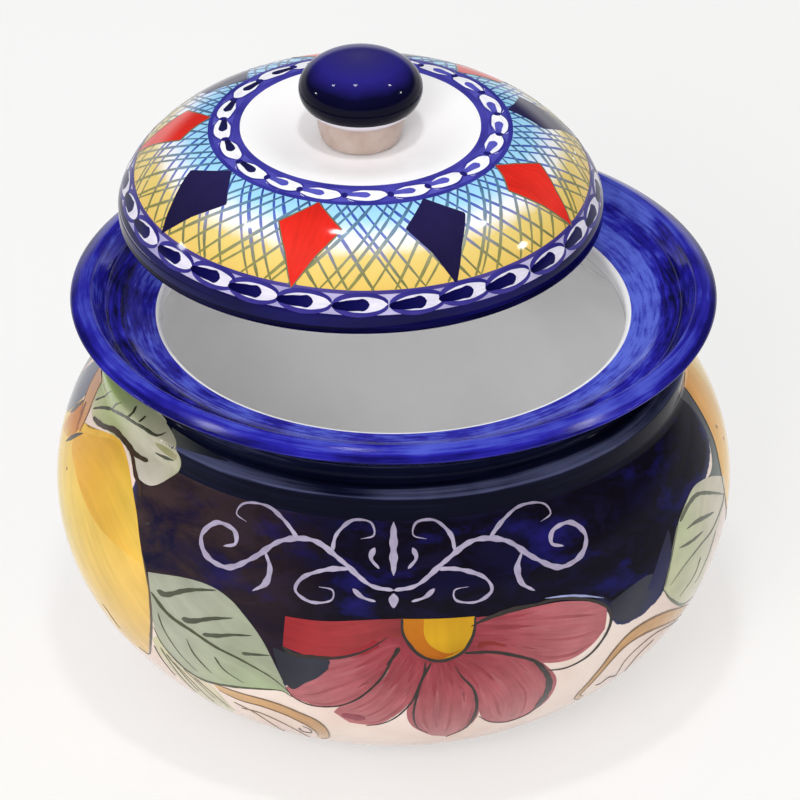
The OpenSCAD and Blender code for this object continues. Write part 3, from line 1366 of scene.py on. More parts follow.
@dataclass
class Lid:
    """The domed lid with its locating flange, and the knob that is luted to its crown."""

    centre: tuple[float, float]
    edge_h: float
    radius: float
    knob_r: float
    knob_top_h: float
    edge_rise: float = 5.0
    crown_rise: float = 33.5
    crown_r: float = 41.0
    crown_dip: float = 4.6
    dome_power: float = 1.42
    wall: float = 5.0
    flange_r: float = 73.5
    flange_t: float = 5.0
    flange_depth: float = 6.0
    edge_soft: float = 1.2  # rounding of the lower edge
    seat_soft: float = 0.6  # rounding where the flange meets the seat face
    flange_soft: float = 1.5  # rounding of the flange's lower edges
    stem_r: float = 12.2
    stem_top_r: float = 14.9
    knob_half_h: float = 12.4
    cobalt_over: float = 0.4  # how far the cobalt of the edge reaches up over it
    cobalt_edge: float = -22.0  # angle below the cap's middle at which its cobalt ends
    skin: float = 0.3
    knob_skin: float = 0.02
    turns: int = 240
    knob_turns: int = 128

    def __post_init__(self) -> None:
        """Works out the heights of the crown's centre and the cap's middle over the edge."""
        self.crown_centre = self.crown_rise - self.crown_dip
        self.knob_mid = self.knob_top_h - self.edge_h - self.knob_half_h

    def dip(self, top: float, r0: float, steps: int) -> np.ndarray:
        """The crown's dip, from inside out to its rim: a half wave of cosine.

        Args:
            top: Height of the crown's rim.
            r0: First radius.
            steps: Number of steps.

        Returns:
            Radius and height of each point.
        """
        r = np.linspace(r0, self.crown_r, steps + 1)
        share = np.clip((r - self.stem_r - 1) / (self.crown_r - self.stem_r - 1), 0, 1)
        z = top - self.crown_dip * (1 + np.cos(np.pi * share)) / 2
        return np.stack([r, z], axis=1)

    def dome(self, edge_r: float, top: float, steps: int) -> np.ndarray:
        """The dome from crown to edge: the radius grows as the root of 1 - t ** power.

        Args:
            edge_r: Radius at the edge.
            top: Height of the crown's rim.
            steps: Number of steps.

        Returns:
            Radius and height of each point.
        """
        t = np.sin(np.linspace(np.pi / 2, 0, steps + 1))
        r = self.crown_r + (edge_r - self.crown_r) * np.sqrt(1 - t**self.dome_power)
        return np.stack([r, self.edge_rise + (top - self.edge_rise) * t], axis=1)

    def outside(self) -> np.ndarray:
        """The painted side, from the centre out and down to the rounded lower edge.

        Returns:
            Radius and height of each point.
        """
        return np.concatenate(
            [
                self.dip(self.crown_rise, 0.0, 24),
                self.dome(self.radius, self.crown_rise, 48)[1:],
                line((self.radius, self.edge_rise), (self.radius, self.edge_soft), 4)[1:],
            ]
        )

    def underside(self) -> np.ndarray:
        """The edge's rounding, the seat face, the flange and the hollow inside the dome.

        Returns:
            Radius and height of each point.
        """
        r, f, t, d = self.radius, self.flange_r, self.flange_t, self.flange_depth
        edge, seat, s = self.edge_soft, self.seat_soft, self.flange_soft
        return np.concatenate(
            [
                bend((r, edge), (r, 0), (r - edge, 0), 5),
                line((r - edge, 0), (f + seat, 0), 3),
                bend((f + seat, 0), (f, 0), (f, -seat), 3),
                line((f, -seat), (f, -d + s), 3),
                bend((f, -d + s), (f, -d), (f - s, -d), 5),
                line((f - s, -d), (f - t + s, -d), 2),
                bend((f - t + s, -d), (f - t, -d), (f - t, -d + s), 5),
                line((f - t, -d + s), (f - t, 0), 3),
                self.dome(self.radius - self.wall, self.crown_rise - self.wall, 32)[::-1],
                self.dip(self.crown_rise - self.wall, 0.0, 16)[::-1],
            ]
        )

    def build(self, finishes: list[Material]) -> Piece:
        """Makes the glazed lid.

        Args:
            finishes: The painted side's washes, the edge's cobalt and the underside's glaze.

        Returns:
            The object, which stands for the CAD node.
        """
        shape = Outline()
        out = self.outside()
        split = int(np.argmax(out[:, 1] < self.edge_rise + self.cobalt_over))
        shape.add(out[:split], 0)
        shape.add(out[split:], 1)
        under, wrapped = self.underside(), 8  # points that the edge's cobalt wraps round
        shape.add(under[:wrapped], 1)
        shape.add(under[wrapped:], 2)
        points, zones = shape.closed(-self.skin)
        points[:, 1] += self.edge_h
        points = points[::-1]
        zones = np.r_[zones[0], zones[1:][::-1]]
        mesh = turned_mesh("lid_dome", points, zones, self.centre, self.turns, self.radius)
        length = lengths(points)
        store = mesh.attributes[WHEEL]
        flat = np.zeros(3 * len(mesh.vertices), np.float32)
        store.data.foreach_get("vector", flat)
        flat[2::3] = length[-1] * MM - flat[2::3]
        store.data.foreach_set("vector", flat)
        dome = dress("lid_dome", mesh, finishes, "lid")
        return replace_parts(dome, "lid")

    def canvas(self) -> Canvas:
        """The painted side, marked by the length of outline from the crown's centre.

        Returns:
            The canvas.
        """
        points = draw_in(self.outside()[::-1], self.skin)[::-1]
        points[:, 0] = np.maximum(points[:, 0], 0.0)
        return Canvas(points + [0, self.edge_h], lengths(points), -1.0, self.centre)

    def knob(self, finishes: list[Material]) -> Piece:
        """Makes the knob: a flattened ball on a short flared stem.

        Args:
            finishes: The cap's cobalt, the white under it and the stem's glaze, a darker copy as painted
                shade under the cap.

        Returns:
            The object, which stands for the CAD node.
        """
        base = self.crown_centre
        mid = self.knob_mid
        join = mid - half_height(self.knob_r, self.knob_half_h, self.stem_top_r)
        lip = -math.degrees(math.acos(self.stem_top_r / self.knob_r))
        edge = self.cobalt_edge
        flare = self.stem_top_r - self.stem_r
        shape = Outline()
        shape.add(line((0, base), (self.stem_r, base), 3), 2)
        shape.add(arc(self.stem_r, join, flare, join - base, -90, 0, 12), 2)
        shape.add(arc(0, mid, self.knob_r, self.knob_half_h, lip, edge, 10), 1)
        shape.add(arc(0, mid, self.knob_r, self.knob_half_h, edge, 90, 40), 0)
        points, zones = shape.closed(self.knob_skin)
        points[:, 1] += self.edge_h
        mesh = turned_mesh("lid_knob_ball", points, zones, self.centre, self.knob_turns, self.knob_r)
        ball = dress("lid_knob_ball", mesh, finishes, "lid")
        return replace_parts(ball, "lid_knob")


# ---------------------------------------------------------------- painting on the belly

HALF_TURN = 180.0  # the painting on the belly comes twice round it
INK = "#2a2420"
OLIVE = "#44472f"
VEIN = ("#34371f", "#3d4030")
UMBER = "#5b4636"


@dataclass
class BellyPainting:
    """Lemons, leaves, half daisies and scrolls round the belly, between navy and cream.

    Spots are angles and heights. Every motif comes again half a turn on, but the filigree over
    the daisy is at the front alone.
    """

    canvas: Canvas
    navy_edge: tuple[Spot, ...] = (
        (-58, 126), (-54, 100), (-50, 80), (-46, 72), (-42, 62), (-36, 58), (-30, 60),
        (-24, 58), (-20.5, 55), (-18.6, 53), (-17.4, 57), (-16, 60), (-12, 64), (-4, 72),
        (4, 76), (14, 76), (24, 74), (33, 74), (36.5, 77), (37.8, 74.5), (38.6, 70),
        (40, 66.5), (42.5, 64), (46.5, 64), (50.5, 66.5), (52.5, 70), (56, 76), (61, 84),
        (65, 88.5), (69, 91.5), (72.6, 93.6), (75.6, 95.4), (77.5, 98.6), (78.6, 103.4),
        (79.4, 110), (80, 117), (81, 126),
    )  # fmt: skip

    def __post_init__(self) -> None:
        """Takes a layer for each colour."""
        self.petals, self.lemons, self.scrolls, self.lines = (Painting(self.canvas) for _ in range(4))
        self.leaves = Painting(self.canvas, step=0.8)
        self.filigree = Painting(self.canvas, tremor=0.16)

    def both(self, layer: Painting, *marks: Film | Stroke) -> None:
        """Lays marks on a layer, and again half a turn on.

        Args:
            layer: The layer.
            marks: Filled shapes and brush lines.
        """
        for mark in marks:
            for turn in (0.0, HALF_TURN):
                (layer.fill if isinstance(mark, Film) else layer.line)(mark, turn)

    def paint_lemon(self) -> None:
        """A lemon on its side, stalk up and to the left, with a darker wash over its top."""
        body = Film(
            left=((-84, 106), (-90, 102), (-97, 93), (-102, 80), (-101, 67), (-94, 55),
                  (-83, 46), (-70, 40.5), (-60, 39), (-50.5, 41)),
            right=((-84, 106), (-80.5, 104.2), (-76, 105), (-70.5, 109), (-64.7, 111.4), (-59.6, 109.2),
                   (-55.4, 104.6), (-51.4, 98), (-48.9, 91), (-46.9, 84), (-45.2, 75), (-45.4, 62),
                   (-47.6, 50), (-50.5, 41)),
            colours=("#ecbe48", "#f2da74", "#f0db78", "#ecd070", "#e6c26c", "#deb874"),
            far=("#e2ac38", "#deac3c", "#dcb042", "#dfb452", "#e2bb68", "#e0bd7e"),
            level=2,
        )  # fmt: skip
        wash = Film(
            left=((-80, 98), (-79, 94.5), (-74, 92), (-68, 88.5), (-61, 85.2), (-54, 84), (-47, 83.5)),
            right=((-79, 101), (-72, 106), (-66, 110), (-61.5, 109.6), (-56.5, 105.4),
                   (-51.9, 98), (-47.3, 85)),
            colours=("#e0a632", "#d8a02c", "#dcaa3a", "#e2b44c"),
            far=("#dea638", "#d8a43c", "#d2ac42", "#d8b450"),
            level=3,
        )  # fmt: skip
        nub = Film(
            left=((-84.3, 106), (-87.5, 98.5), (-90.5, 89)),
            right=((-82.3, 105.5), (-80, 99.5), (-83, 93.5)),
            colours=("#c06a18", "#cc7f20", "#e0ac4c"),
            level=4,
        )
        for mark in (body, wash, nub):
            self.lemons.fill(mark)
        self.lemons.line(
            Stroke(((-83.5, 107), (-82, 104), (-81, 101), (-80, 99)), 2.0, ("#7a4420", "#b0682a"))
        )
        for mark in (
            Stroke(((-83.5, 91.5), (-81.5, 95), (-79, 99.1), (-76.9, 101.9)), 1.7, (INK,), Tip.BLADE),
            Stroke(((-89, 96.5), (-87, 100.5), (-85.4, 104.6), (-84.8, 106.4)), 2.2, (INK,), Tip.BLADE),
            Stroke(
                ((-48, 88.5), (-46.3, 82.5), (-44.8, 74), (-45, 62), (-47.2, 50), (-50, 42), (-53, 42)),
                1.1, (UMBER, "#6d675a"), Tip.BLADE,
            ),
            Stroke(((-61.5, 52), (-60, 50), (-58, 45)), 0.8, (UMBER,), Tip.BLADE),
            Stroke(((-78, 88), (-77.6, 87.2)), 0.7, (INK,), Tip.OVAL),
            Stroke(((-48.5, 96.5), (-47.5, 97.5)), 0.9, (INK,), Tip.OVAL),
        ):  # fmt: skip
            self.lines.line(mark)

    def paint_upright_lemon(self) -> None:
        """The other lemon, which stands on its end beside the upright leaf."""
        body = Film(
            left=((84, 122.5), (81.6, 118), (81.4, 112), (80.8, 106.4), (80.3, 101), (79.6, 95.5),
                  (78.2, 89), (77.6, 80), (80, 69), (85, 57), (93, 47), (103, 42)),
            right=((90, 122.5), (93, 120), (98, 116.5), (107, 111), (115, 102), (119.5, 89),
                   (119, 74), (114.5, 59), (109, 49), (103, 42)),
            colours=("#e9a444", "#eeb04c", "#f2be62", "#f5d084", "#f7df98", "#f6d892"),
            far=("#f0c060", "#f6e08c", "#f8e89a", "#f4d67e", "#f2cd85"),
            level=2,
        )  # fmt: skip
        wash = Film(
            left=((84.4, 121), (82.2, 115), (81.6, 110.6), (80.8, 103), (79.2, 93), (78.4, 84)),
            right=((91, 120), (92, 114), (93, 106), (92, 97), (87, 88), (80.5, 82.5)),
            colours=("#e59a3a", "#e8a443", "#efb95c"),
            far=("#eab24e", "#f0c468"),
            level=3,
        )
        for mark in (body, wash):
            self.lemons.fill(mark)
        edge = ((82, 119.5), (81.3, 112), (80.7, 106.2), (80.2, 101), (79.5, 95.4), (78.1, 89),
                (77.5, 80), (79.8, 69), (84.8, 57), (93, 46.8))  # fmt: skip
        self.lines.line(Stroke(edge, 0.8, (UMBER, "#8a6a3c"), Tip.BLADE))
        for mark in (
            Stroke(((84, 97), (84.4, 95.5)), 1.1, ("#7c5a30",), Tip.OVAL),
            Stroke(((86, 90), (86.2, 88.8)), 0.9, ("#7c5a30",), Tip.OVAL),
            Stroke(((88, 123), (89.5, 118), (91, 114.5)), 1.3, ("#8a5a2c",), Tip.TAIL),
        ):
            self.lines.line(mark)

    def paint_lobed_leaf(self) -> None:
        """The green leaf over the lemon, with a pale lobe that hangs over the navy, and a painted highlight
        on the ledge above it.
        """
        self.both(
            self.leaves,
            Film(
                left=((-83, 112.5), (-82, 119), (-77.5, 124.2), (-71, 125.4), (-65, 125.7),
                      (-58, 125.3), (-51.5, 124.5), (-47, 123), (-45.2, 119.6), (-45.8, 115),
                      (-48, 110.5)),
                right=((-83, 111.5), (-80, 108.6), (-75, 107.6), (-69, 110.3), (-62.5, 111.5),
                       (-58.5, 109.6), (-55.5, 107.4), (-52, 106.9), (-49.8, 108), (-48, 110.5)),
                colours=("#7f9d58", "#8aa860", "#98ad74", "#aab08c", "#b9b49c", "#a9a98a"),
                far=("#d8c8b4", "#b9b690", "#a8ad7c", "#bdb89f", "#c2bbae", "#c4bdb2"),
                level=4,
            ),
            Film(
                left=((-53, 120.4), (-50.8, 121.4), (-48.2, 121.6), (-46.2, 120.8)),
                right=((-52.4, 119.4), (-50.8, 118.9), (-48, 118.6), (-46.4, 118.8)),
                colours=("#95946a", "#8a8a5c", "#989270"),
                level=5,
            ),
        )  # fmt: skip
        slate = Film(
            left=((-92, 117), (-96, 108), (-98.5, 99), (-97, 90)),
            right=((-88, 118), (-86, 110.5), (-87, 103), (-91, 94)),
            colours=("#7c7d8c", "#66697c", "#5c5f70", "#74747e"),
            level=3,
        )
        vine = Film(
            left=((-91, 117), (-88, 110.9), (-85.7, 107.2), (-82.7, 103.6), (-79.8, 100.2)),
            right=((-85.5, 118.5), (-83.2, 113.7), (-81.1, 109.8), (-79.4, 105.9), (-78.5, 101)),
            colours=("#c0957a", "#c99a78", "#cc9566", "#c88442"),
            level=5,
        )
        # A grey film on the collar's ledge that fades into the navy: a painted highlight.
        ledge_highlight = Film(
            left=((-52, 124.9), (-46, 124.8), (-40, 124.6), (-35, 124.3)),
            right=((-49, 123), (-44, 123.4), (-39, 123.9), (-35, 124.2)),
            colours=("#63655f", "#4a4c4c", "#2c2e38", "#191b2a"),
            level=1,
        )
        for mark in (slate, vine, ledge_highlight):
            self.leaves.fill(mark)
        for side in (vine.left, vine.right):
            self.lines.line(Stroke(side, 0.8, ("#8a5f44", "#7a4c30"), Tip.BLADE, 7))
        self.both(
            self.lines,
            Stroke(((-78.9, 109), (-76.1, 112.1), (-72.4, 114.9), (-67.3, 118.4), (-63.8, 120.3),
                    (-57.6, 122.3), (-54.2, 122.7), (-52.4, 123.1), (-51.8, 124)), 1.3, VEIN,
                   Tip.EVEN),
            Stroke(((-80.4, 110.6), (-78, 114.4), (-75.4, 118.2), (-72.2, 122.4)), 0.9, VEIN, Tip.TAIL),
            Stroke(((-71.6, 116), (-69.6, 119.6), (-67, 122.9)), 0.9, VEIN, Tip.TAIL),
            Stroke(((-63.4, 121), (-62.2, 122.8), (-63.6, 124)), 1.0, VEIN, Tip.EVEN),
            Stroke(((-58.9, 122.8), (-59.3, 124)), 1.0, VEIN, Tip.EVEN),
            Stroke(((-76.8, 108), (-72, 109.6), (-67.5, 112), (-62.5, 112.3), (-58, 111.8),
                    (-54, 112.5)), 2.0, ("#43362a",), Tip.EVEN, level=7),
            Stroke(((-60.5, 112), (-58, 110.3), (-55.5, 107.5), (-53, 105.2), (-51.8, 102.5)),
                   1.6, ("#4a372a", "#3a2c26"), Tip.EVEN, level=7),
            Stroke(((-53, 116.4), (-49.9, 117.1), (-47, 118.2)), 1.3, VEIN, Tip.BLADE),
        )  # fmt: skip

    def paint_sage_leaf(self) -> None:
        """The broad sage leaf beside the daisy, its midrib and its one-sided brush strokes."""
        self.both(
            self.leaves,
            Film(
                left=((-45.6, 82), (-43, 83.5), (-38.5, 85.8), (-34.5, 86.8), (-31, 86.3),
                      (-28, 84), (-26, 81), (-23.5, 76), (-21.5, 70), (-19.5, 60), (-18.2, 50)),
                right=((-45, 78), (-44.6, 66), (-44.2, 60), (-43.2, 54), (-41.5, 49.5),
                       (-39, 45.7), (-35.5, 44.3), (-30, 46.5), (-23, 50), (-19.5, 51), (-18.2, 49.8)),
                colours=("#989b8a", "#9a9e8d", "#979c86", "#9ca18a"),
                far=("#a1a490", "#aaad9a", "#a8b292", "#9fb083"),
                level=3,
            ),
            Film(
                left=((-46, 54), (-45, 46), (-43.5, 36), (-42, 25), (-39, 17)),
                right=((-44, 58), (-42, 49.5), (-38.5, 45), (-34, 41), (-33, 28)),
                colours=("#cbc6a0", "#d2c8ae", "#c6c4a2"),
                level=2,
            ),
        )  # fmt: skip
        thick = ("#4c5040", "#3c402c")
        self.both(
            self.lines,
            Stroke(((-44.6, 75.5), (-40.5, 70), (-35.5, 67.3), (-31, 64.2), (-26.5, 62),
                    (-22.5, 58.8), (-20.3, 56), (-18.4, 52)), 1.7, (OLIVE,), Tip.TAIL),
            Stroke(((-43.2, 77.2), (-41, 77.4), (-37.5, 81.5), (-34.5, 84), (-31, 86)),
                   2.2, thick, Tip.TAIL),
            Stroke(((-37.7, 70.7), (-35.5, 71.5), (-31.5, 75.3), (-27.5, 78)), 2.2, thick, Tip.TAIL),
            Stroke(((-33.5, 67.6), (-30.5, 69.2), (-27.5, 71.5), (-24, 73.2)), 1.8, thick, Tip.TAIL),
            Stroke(((-26, 64.8), (-23.5, 65.8), (-20.8, 66.8)), 1.4, thick, Tip.TAIL),
            Stroke(((-43, 68.5), (-42, 62.5), (-39.5, 54.5), (-36.5, 48)), 0.7, (OLIVE,), Tip.TAIL),
            Stroke(((-37, 63), (-36, 57.5), (-34, 52.5), (-33, 50.5)), 0.8, (OLIVE,), Tip.BLADE),
            Stroke(((-31.5, 59.5), (-30, 54.5), (-26.5, 50.5)), 0.8, (OLIVE,), Tip.TAIL),
            Stroke(((-44.6, 61), (-43.5, 55), (-41.5, 50), (-39, 45.8), (-35.5, 44.2),
                    (-30, 46.3), (-23, 50), (-19.5, 51.2), (-17.8, 49)), 1.2, (OLIVE,), Tip.BLADE),
            Stroke(((-46, 51), (-45.6, 45), (-44.6, 37)), 0.7, (OLIVE,), Tip.TAIL),
            Stroke(((-44.2, 52), (-43, 43), (-41.8, 30)), 0.7, (OLIVE,), Tip.TAIL),
            Stroke(((-42, 47), (-39.5, 39), (-38, 28)), 0.7, ("#7a6f58",), Tip.TAIL),
            Stroke(((-40, 46), (-37.6, 40), (-36, 33)), 0.7, ("#8a7f68",), Tip.TAIL),
            Stroke(((-43.2, 50), (-41.2, 42), (-40, 33)), 0.7, (OLIVE,), Tip.TAIL),
            Stroke(((-38, 43.5), (-35.5, 37), (-34, 29)), 0.7, ("#7a6f58",), Tip.TAIL),
        )  # fmt: skip

    def paint_daisy(self) -> None:
        """The half daisy that hangs from the navy panel, six petals and a half disc."""
        rose = ("#86303a", "#98464d", "#a4575d", "#ae666b", "#aa6166")
        red = ("#7e2e30", "#8c3034", "#962e32", "#922228")
        petals = (
            (((1.5, 85.4), (-3, 85), (-7, 84.2), (-10.5, 83.4), (-14, 83), (-18.2, 83)),
             ((1.5, 79), (-1, 78), (-4, 74.5), (-8, 71), (-13, 69.2), (-18.5, 71.5)), red, 4),
            (((1, 77), (-2, 76.5), (-6, 72.5), (-10, 70), (-13.5, 67), (-16, 60), (-18.6, 53)),
             ((1.5, 72), (-0.5, 67), (-2.3, 61), (-5.5, 53), (-9, 47.8), (-13, 45.7), (-17.8, 49)),
             rose, 3),
            (((1, 72), (-0.5, 67), (-2, 61.5), (-5.5, 53), (-9, 48), (-10.6, 43.5)),
             ((6, 69), (5, 63.5), (4, 57), (2.8, 50.5), (0, 42.5), (-3.5, 37), (-8, 37.6)), rose, 2),
            (((5.2, 69), (4, 61.5), (2.8, 52), (2.3, 43.5), (3.6, 35.5), (7.5, 27.5)),
             ((10, 68), (12, 61), (14.2, 54), (15.3, 45), (14.6, 34), (10.8, 25.3)), rose, 4),
            (((9.5, 69), (11.1, 63.2), (13.3, 55), (15, 44), (17, 35), (21.5, 29.8)),
             ((12, 72.2), (17, 71.5), (22, 67.8), (26, 60), (29.2, 50), (28.8, 38), (25.2, 30.8)),
             rose, 3),
            (((13.3, 84), (18.5, 83.6), (24, 83.8), (29, 83), (34, 80), (37.6, 75.5), (37.8, 70)),
             ((12.8, 73), (17, 71), (21, 66.5), (26, 60.6), (31, 58.6), (35, 61.4), (37.6, 66.5)), rose, 5),
            (((-3.5, 80.5), (-2.5, 74.5), (1.5, 66), (8, 60)),
             ((16.5, 79.5), (15.5, 73.5), (14, 66), (8.2, 60)), ("#84303a", "#8c3740"), 2),
        )  # fmt: skip
        for left, right, tones, level in petals:
            shape = Film(left, right, tones, level=level)
            self.both(self.petals, shape)
            for turn in (0.0, HALF_TURN) if tones is rose else ():
                self.petals.hairs(shape, 7, 1.3, ("#8f3a42", "#95434a"), (0.02, 0.45), turn)
                self.petals.hairs(shape, 6, 1.5, ("#a65c62", "#9b5056"), (0.35, 0.85), turn)
        self.both(
            self.petals,
            Stroke(((13.8, 73.4), (16, 73.8), (19, 71.6)), 2.2, ("#7a2a26",), Tip.TAIL, 6),
            Stroke(((-9.3, 42.5), (-7.2, 41.5), (-5, 40.8)), 4.0, ("#8c3f4c",), Tip.OVAL, 6),
            Stroke(((-2.5, 77), (-5, 73.5), (-9, 71.5)), 3.6, ("#86202a", "#902a30"), Tip.TAIL, 5),
        )
        self.both(
            self.lemons,
            Film(
                left=((1.5, 85.3), (1.6, 80), (3, 75), (5, 71), (7.5, 69.3)),
                right=((13.5, 84.4), (13.3, 79), (12, 73.5), (10, 70), (7.7, 69.3)),
                colours=("#b98a18", "#c0931a", "#b08012"),
                level=6,
            ),
            Film(
                left=((1.5, 85.3), (1.6, 80), (3, 75), (5, 71), (7.5, 69.3)),
                right=((5, 85), (5, 79.5), (6.2, 75), (9, 71.8), (11.8, 73.2)),
                colours=("#ae6814", "#aa6010", "#9f560c"),
                level=7,
            ),
        )
        ink = (INK,)
        self.both(
            self.lines,
            Stroke(((1.4, 85.8), (1.5, 80.5), (2.6, 76), (4.2, 72), (6.7, 69.3), (9, 69.4),
                    (11.5, 72), (13, 77), (13.5, 81), (13.6, 84.6)), 1.2, ink, level=8),
            Stroke(((-18.7, 71.5), (-16.5, 69.2), (-13.5, 69.3), (-10, 69.7), (-6.5, 71.8),
                    (-3.5, 75), (-1, 79)), 1.6, (INK, "#3c2426"), Tip.TAIL, 8),
            Stroke(((0.6, 74.8), (-0.4, 70), (-2, 62.5), (-5.5, 53.3), (-9, 48), (-12.5, 46),
                    (-15.5, 46.5), (-17.8, 50), (-18.9, 56)), 0.9, ink, Tip.TAIL, 8),
            Stroke(((0.9, 75), (0, 71.5), (-1.2, 68)), 1.6, ink, Tip.TAIL, 8),
            Stroke(((5.2, 69), (5, 63.5), (4, 57), (3, 50.5), (0.5, 42.5), (-2.2, 38),
                    (-5, 36.3)), 0.9, ink, Tip.TAIL, 8),
            Stroke(((6.2, 68.6), (4.6, 61), (3.8, 52), (3.5, 43.5), (4.3, 35.5), (6.6, 30)),
                   1.1, ink, Tip.TAIL, 8),
            Stroke(((10, 66.5), (11.5, 61), (13.6, 54.5), (14.6, 46), (14.6, 39), (13.6, 31),
                    (10.6, 25)), 1.1, ink, Tip.BLADE, 8),
            Stroke(((11.6, 71.3), (16, 70.3), (19.5, 67.8), (23.5, 63.5), (26.2, 58.5)),
                   1.2, ink, Tip.EVEN, 8),
            Stroke(((23.8, 63), (26, 57.5), (27.6, 51), (28, 44), (27.2, 35)), 3.0,
                   ("#37302e", "#4a4344"), Tip.DROP, 8),
            Stroke(((27.6, 37), (26, 32), (22.5, 30), (18.5, 33), (15.6, 38.5)), 0.9, ink, Tip.TAIL, 8),
            Stroke(((13.4, 81.5), (18.5, 83.8), (23, 84.4), (28, 84.4), (32.3, 82.2), (36.3, 78),
                    (38.4, 73.5), (38.8, 68), (37.4, 62), (34.8, 57), (31, 55), (27.5, 56.2),
                    (25.3, 58.5)), 1.1, (INK, INK, "#4a443c"), Tip.BLADE, 8),
            Stroke(((12.8, 81), (15.5, 83), (20, 84.6), (24, 84.9)), 1.6, ink, Tip.BLADE, 8),
            Stroke(((26.1, 85.8), (29.8, 84.6), (33.7, 82.2), (37.3, 79)), 0.8, ("#9096c0",), Tip.BLADE, 7),
        )  # fmt: skip
        self.both(
            self.leaves,
            Film(
                left=((-20.3, 70.5), (-16.5, 69), (-13, 68.8), (-10.6, 68.6), (-10.8, 66)),
                right=((-19.2, 58), (-17.4, 53.2), (-14.8, 57.5), (-12.8, 60.4), (-10.8, 65)),
                colours=("#25262e", "#2c2d37", "#33343f", "#2c2d38"),
                level=4.6,
            ),
        )  # fmt: skip

    def paint_scrolls(self) -> None:
        """Ochre scrolls under the leaves, each with brown edges and a small curl inside."""
        ochre = ("#cfa878", "#c99a63", "#c2935c", "#c9a26e")
        brown = ("#7d5f3e",)
        left_out = ((-34, 44.5), (-28, 44), (-24, 44), (-20.5, 43), (-17, 40), (-14.2, 36.5),
                    (-12.9, 30), (-13.6, 22), (-16, 18.5))  # fmt: skip
        left_in = ((-33, 41), (-29, 39), (-24.5, 39), (-20.5, 37), (-17.8, 33.5), (-16.2, 30),
                   (-15.6, 26), (-15.9, 22), (-16.6, 19.5))  # fmt: skip
        right_out = ((66, 46), (60, 52), (54, 57.3), (48.5, 59.8), (44, 59), (41, 54.5),
                     (39, 47.5), (37.6, 41), (36.7, 35), (37.4, 30.5), (40, 27.3))  # fmt: skip
        right_in = ((65, 42.5), (59, 47), (53, 51.5), (48, 53.8), (44, 53.2), (41.6, 49.5),
                    (40, 44.5), (38.9, 39.5), (38.2, 35.5), (38.3, 32), (40.2, 29.3))  # fmt: skip
        self.both(self.scrolls, Film(left_out, left_in, ochre), Film(right_out, right_in, ochre))
        for path in (left_out, left_in, right_out, right_in):
            self.both(self.lines, Stroke(path, 0.9, brown, Tip.BLADE))
        self.both(
            self.lines,
            Stroke(((-31, 36), (-27.5, 32.5), (-25.5, 26), (-24.8, 18)), 0.8, brown, Tip.TAIL),
            Stroke(((-30, 33), (-26, 33.5), (-22.5, 30), (-20, 24), (-19, 17)), 0.8, brown, Tip.TAIL),
            Stroke(((-19, 27.5), (-18.8, 24.5), (-17, 24.5), (-16.6, 28), (-17.8, 30)), 0.9,
                   ("#4c3a28",), Tip.TAIL),
            Stroke(((65.5, 39.5), (59, 45), (53, 48.8), (48.5, 47.5), (46, 43.5), (46.2, 38),
                    (47, 33)), 0.8, brown, Tip.TAIL),
            Stroke(((53.5, 45), (50.5, 41.5), (50, 36), (51, 31)), 0.7, brown, Tip.TAIL),
            Stroke(((46.5, 34), (43.8, 36.5), (42.5, 34.5), (40.8, 35.5)), 1.0, ("#4c3a28",), Tip.TAIL),
        )  # fmt: skip

    def paint_lifted_ground(self) -> None:
        """The navy's corner under the upright leaf, where the brush lifted: slate and cobalt."""
        self.both(
            self.leaves,
            Film(
                left=((38.7, 76), (38.9, 71), (40.4, 67.3), (42.8, 65.2), (46.5, 65.2), (50, 67.8)),
                right=((42.4, 78), (44.5, 78.6), (46.8, 79), (48.6, 78.4), (50.4, 76), (51.4, 72)),
                colours=("#232432", "#30313f", "#34353f", "#2f3140", "#27284c", "#222254"),
                level=1,
            ),
            Film(
                left=((47.4, 74), (49.4, 79.4), (51.6, 84.6), (54, 89)),
                right=((50.6, 69), (52.6, 75), (54.2, 81), (54.6, 89.4)),
                colours=("#20204c", "#191848", "#15143a", "#13122c"),
                level=1.2,
            ),
        )

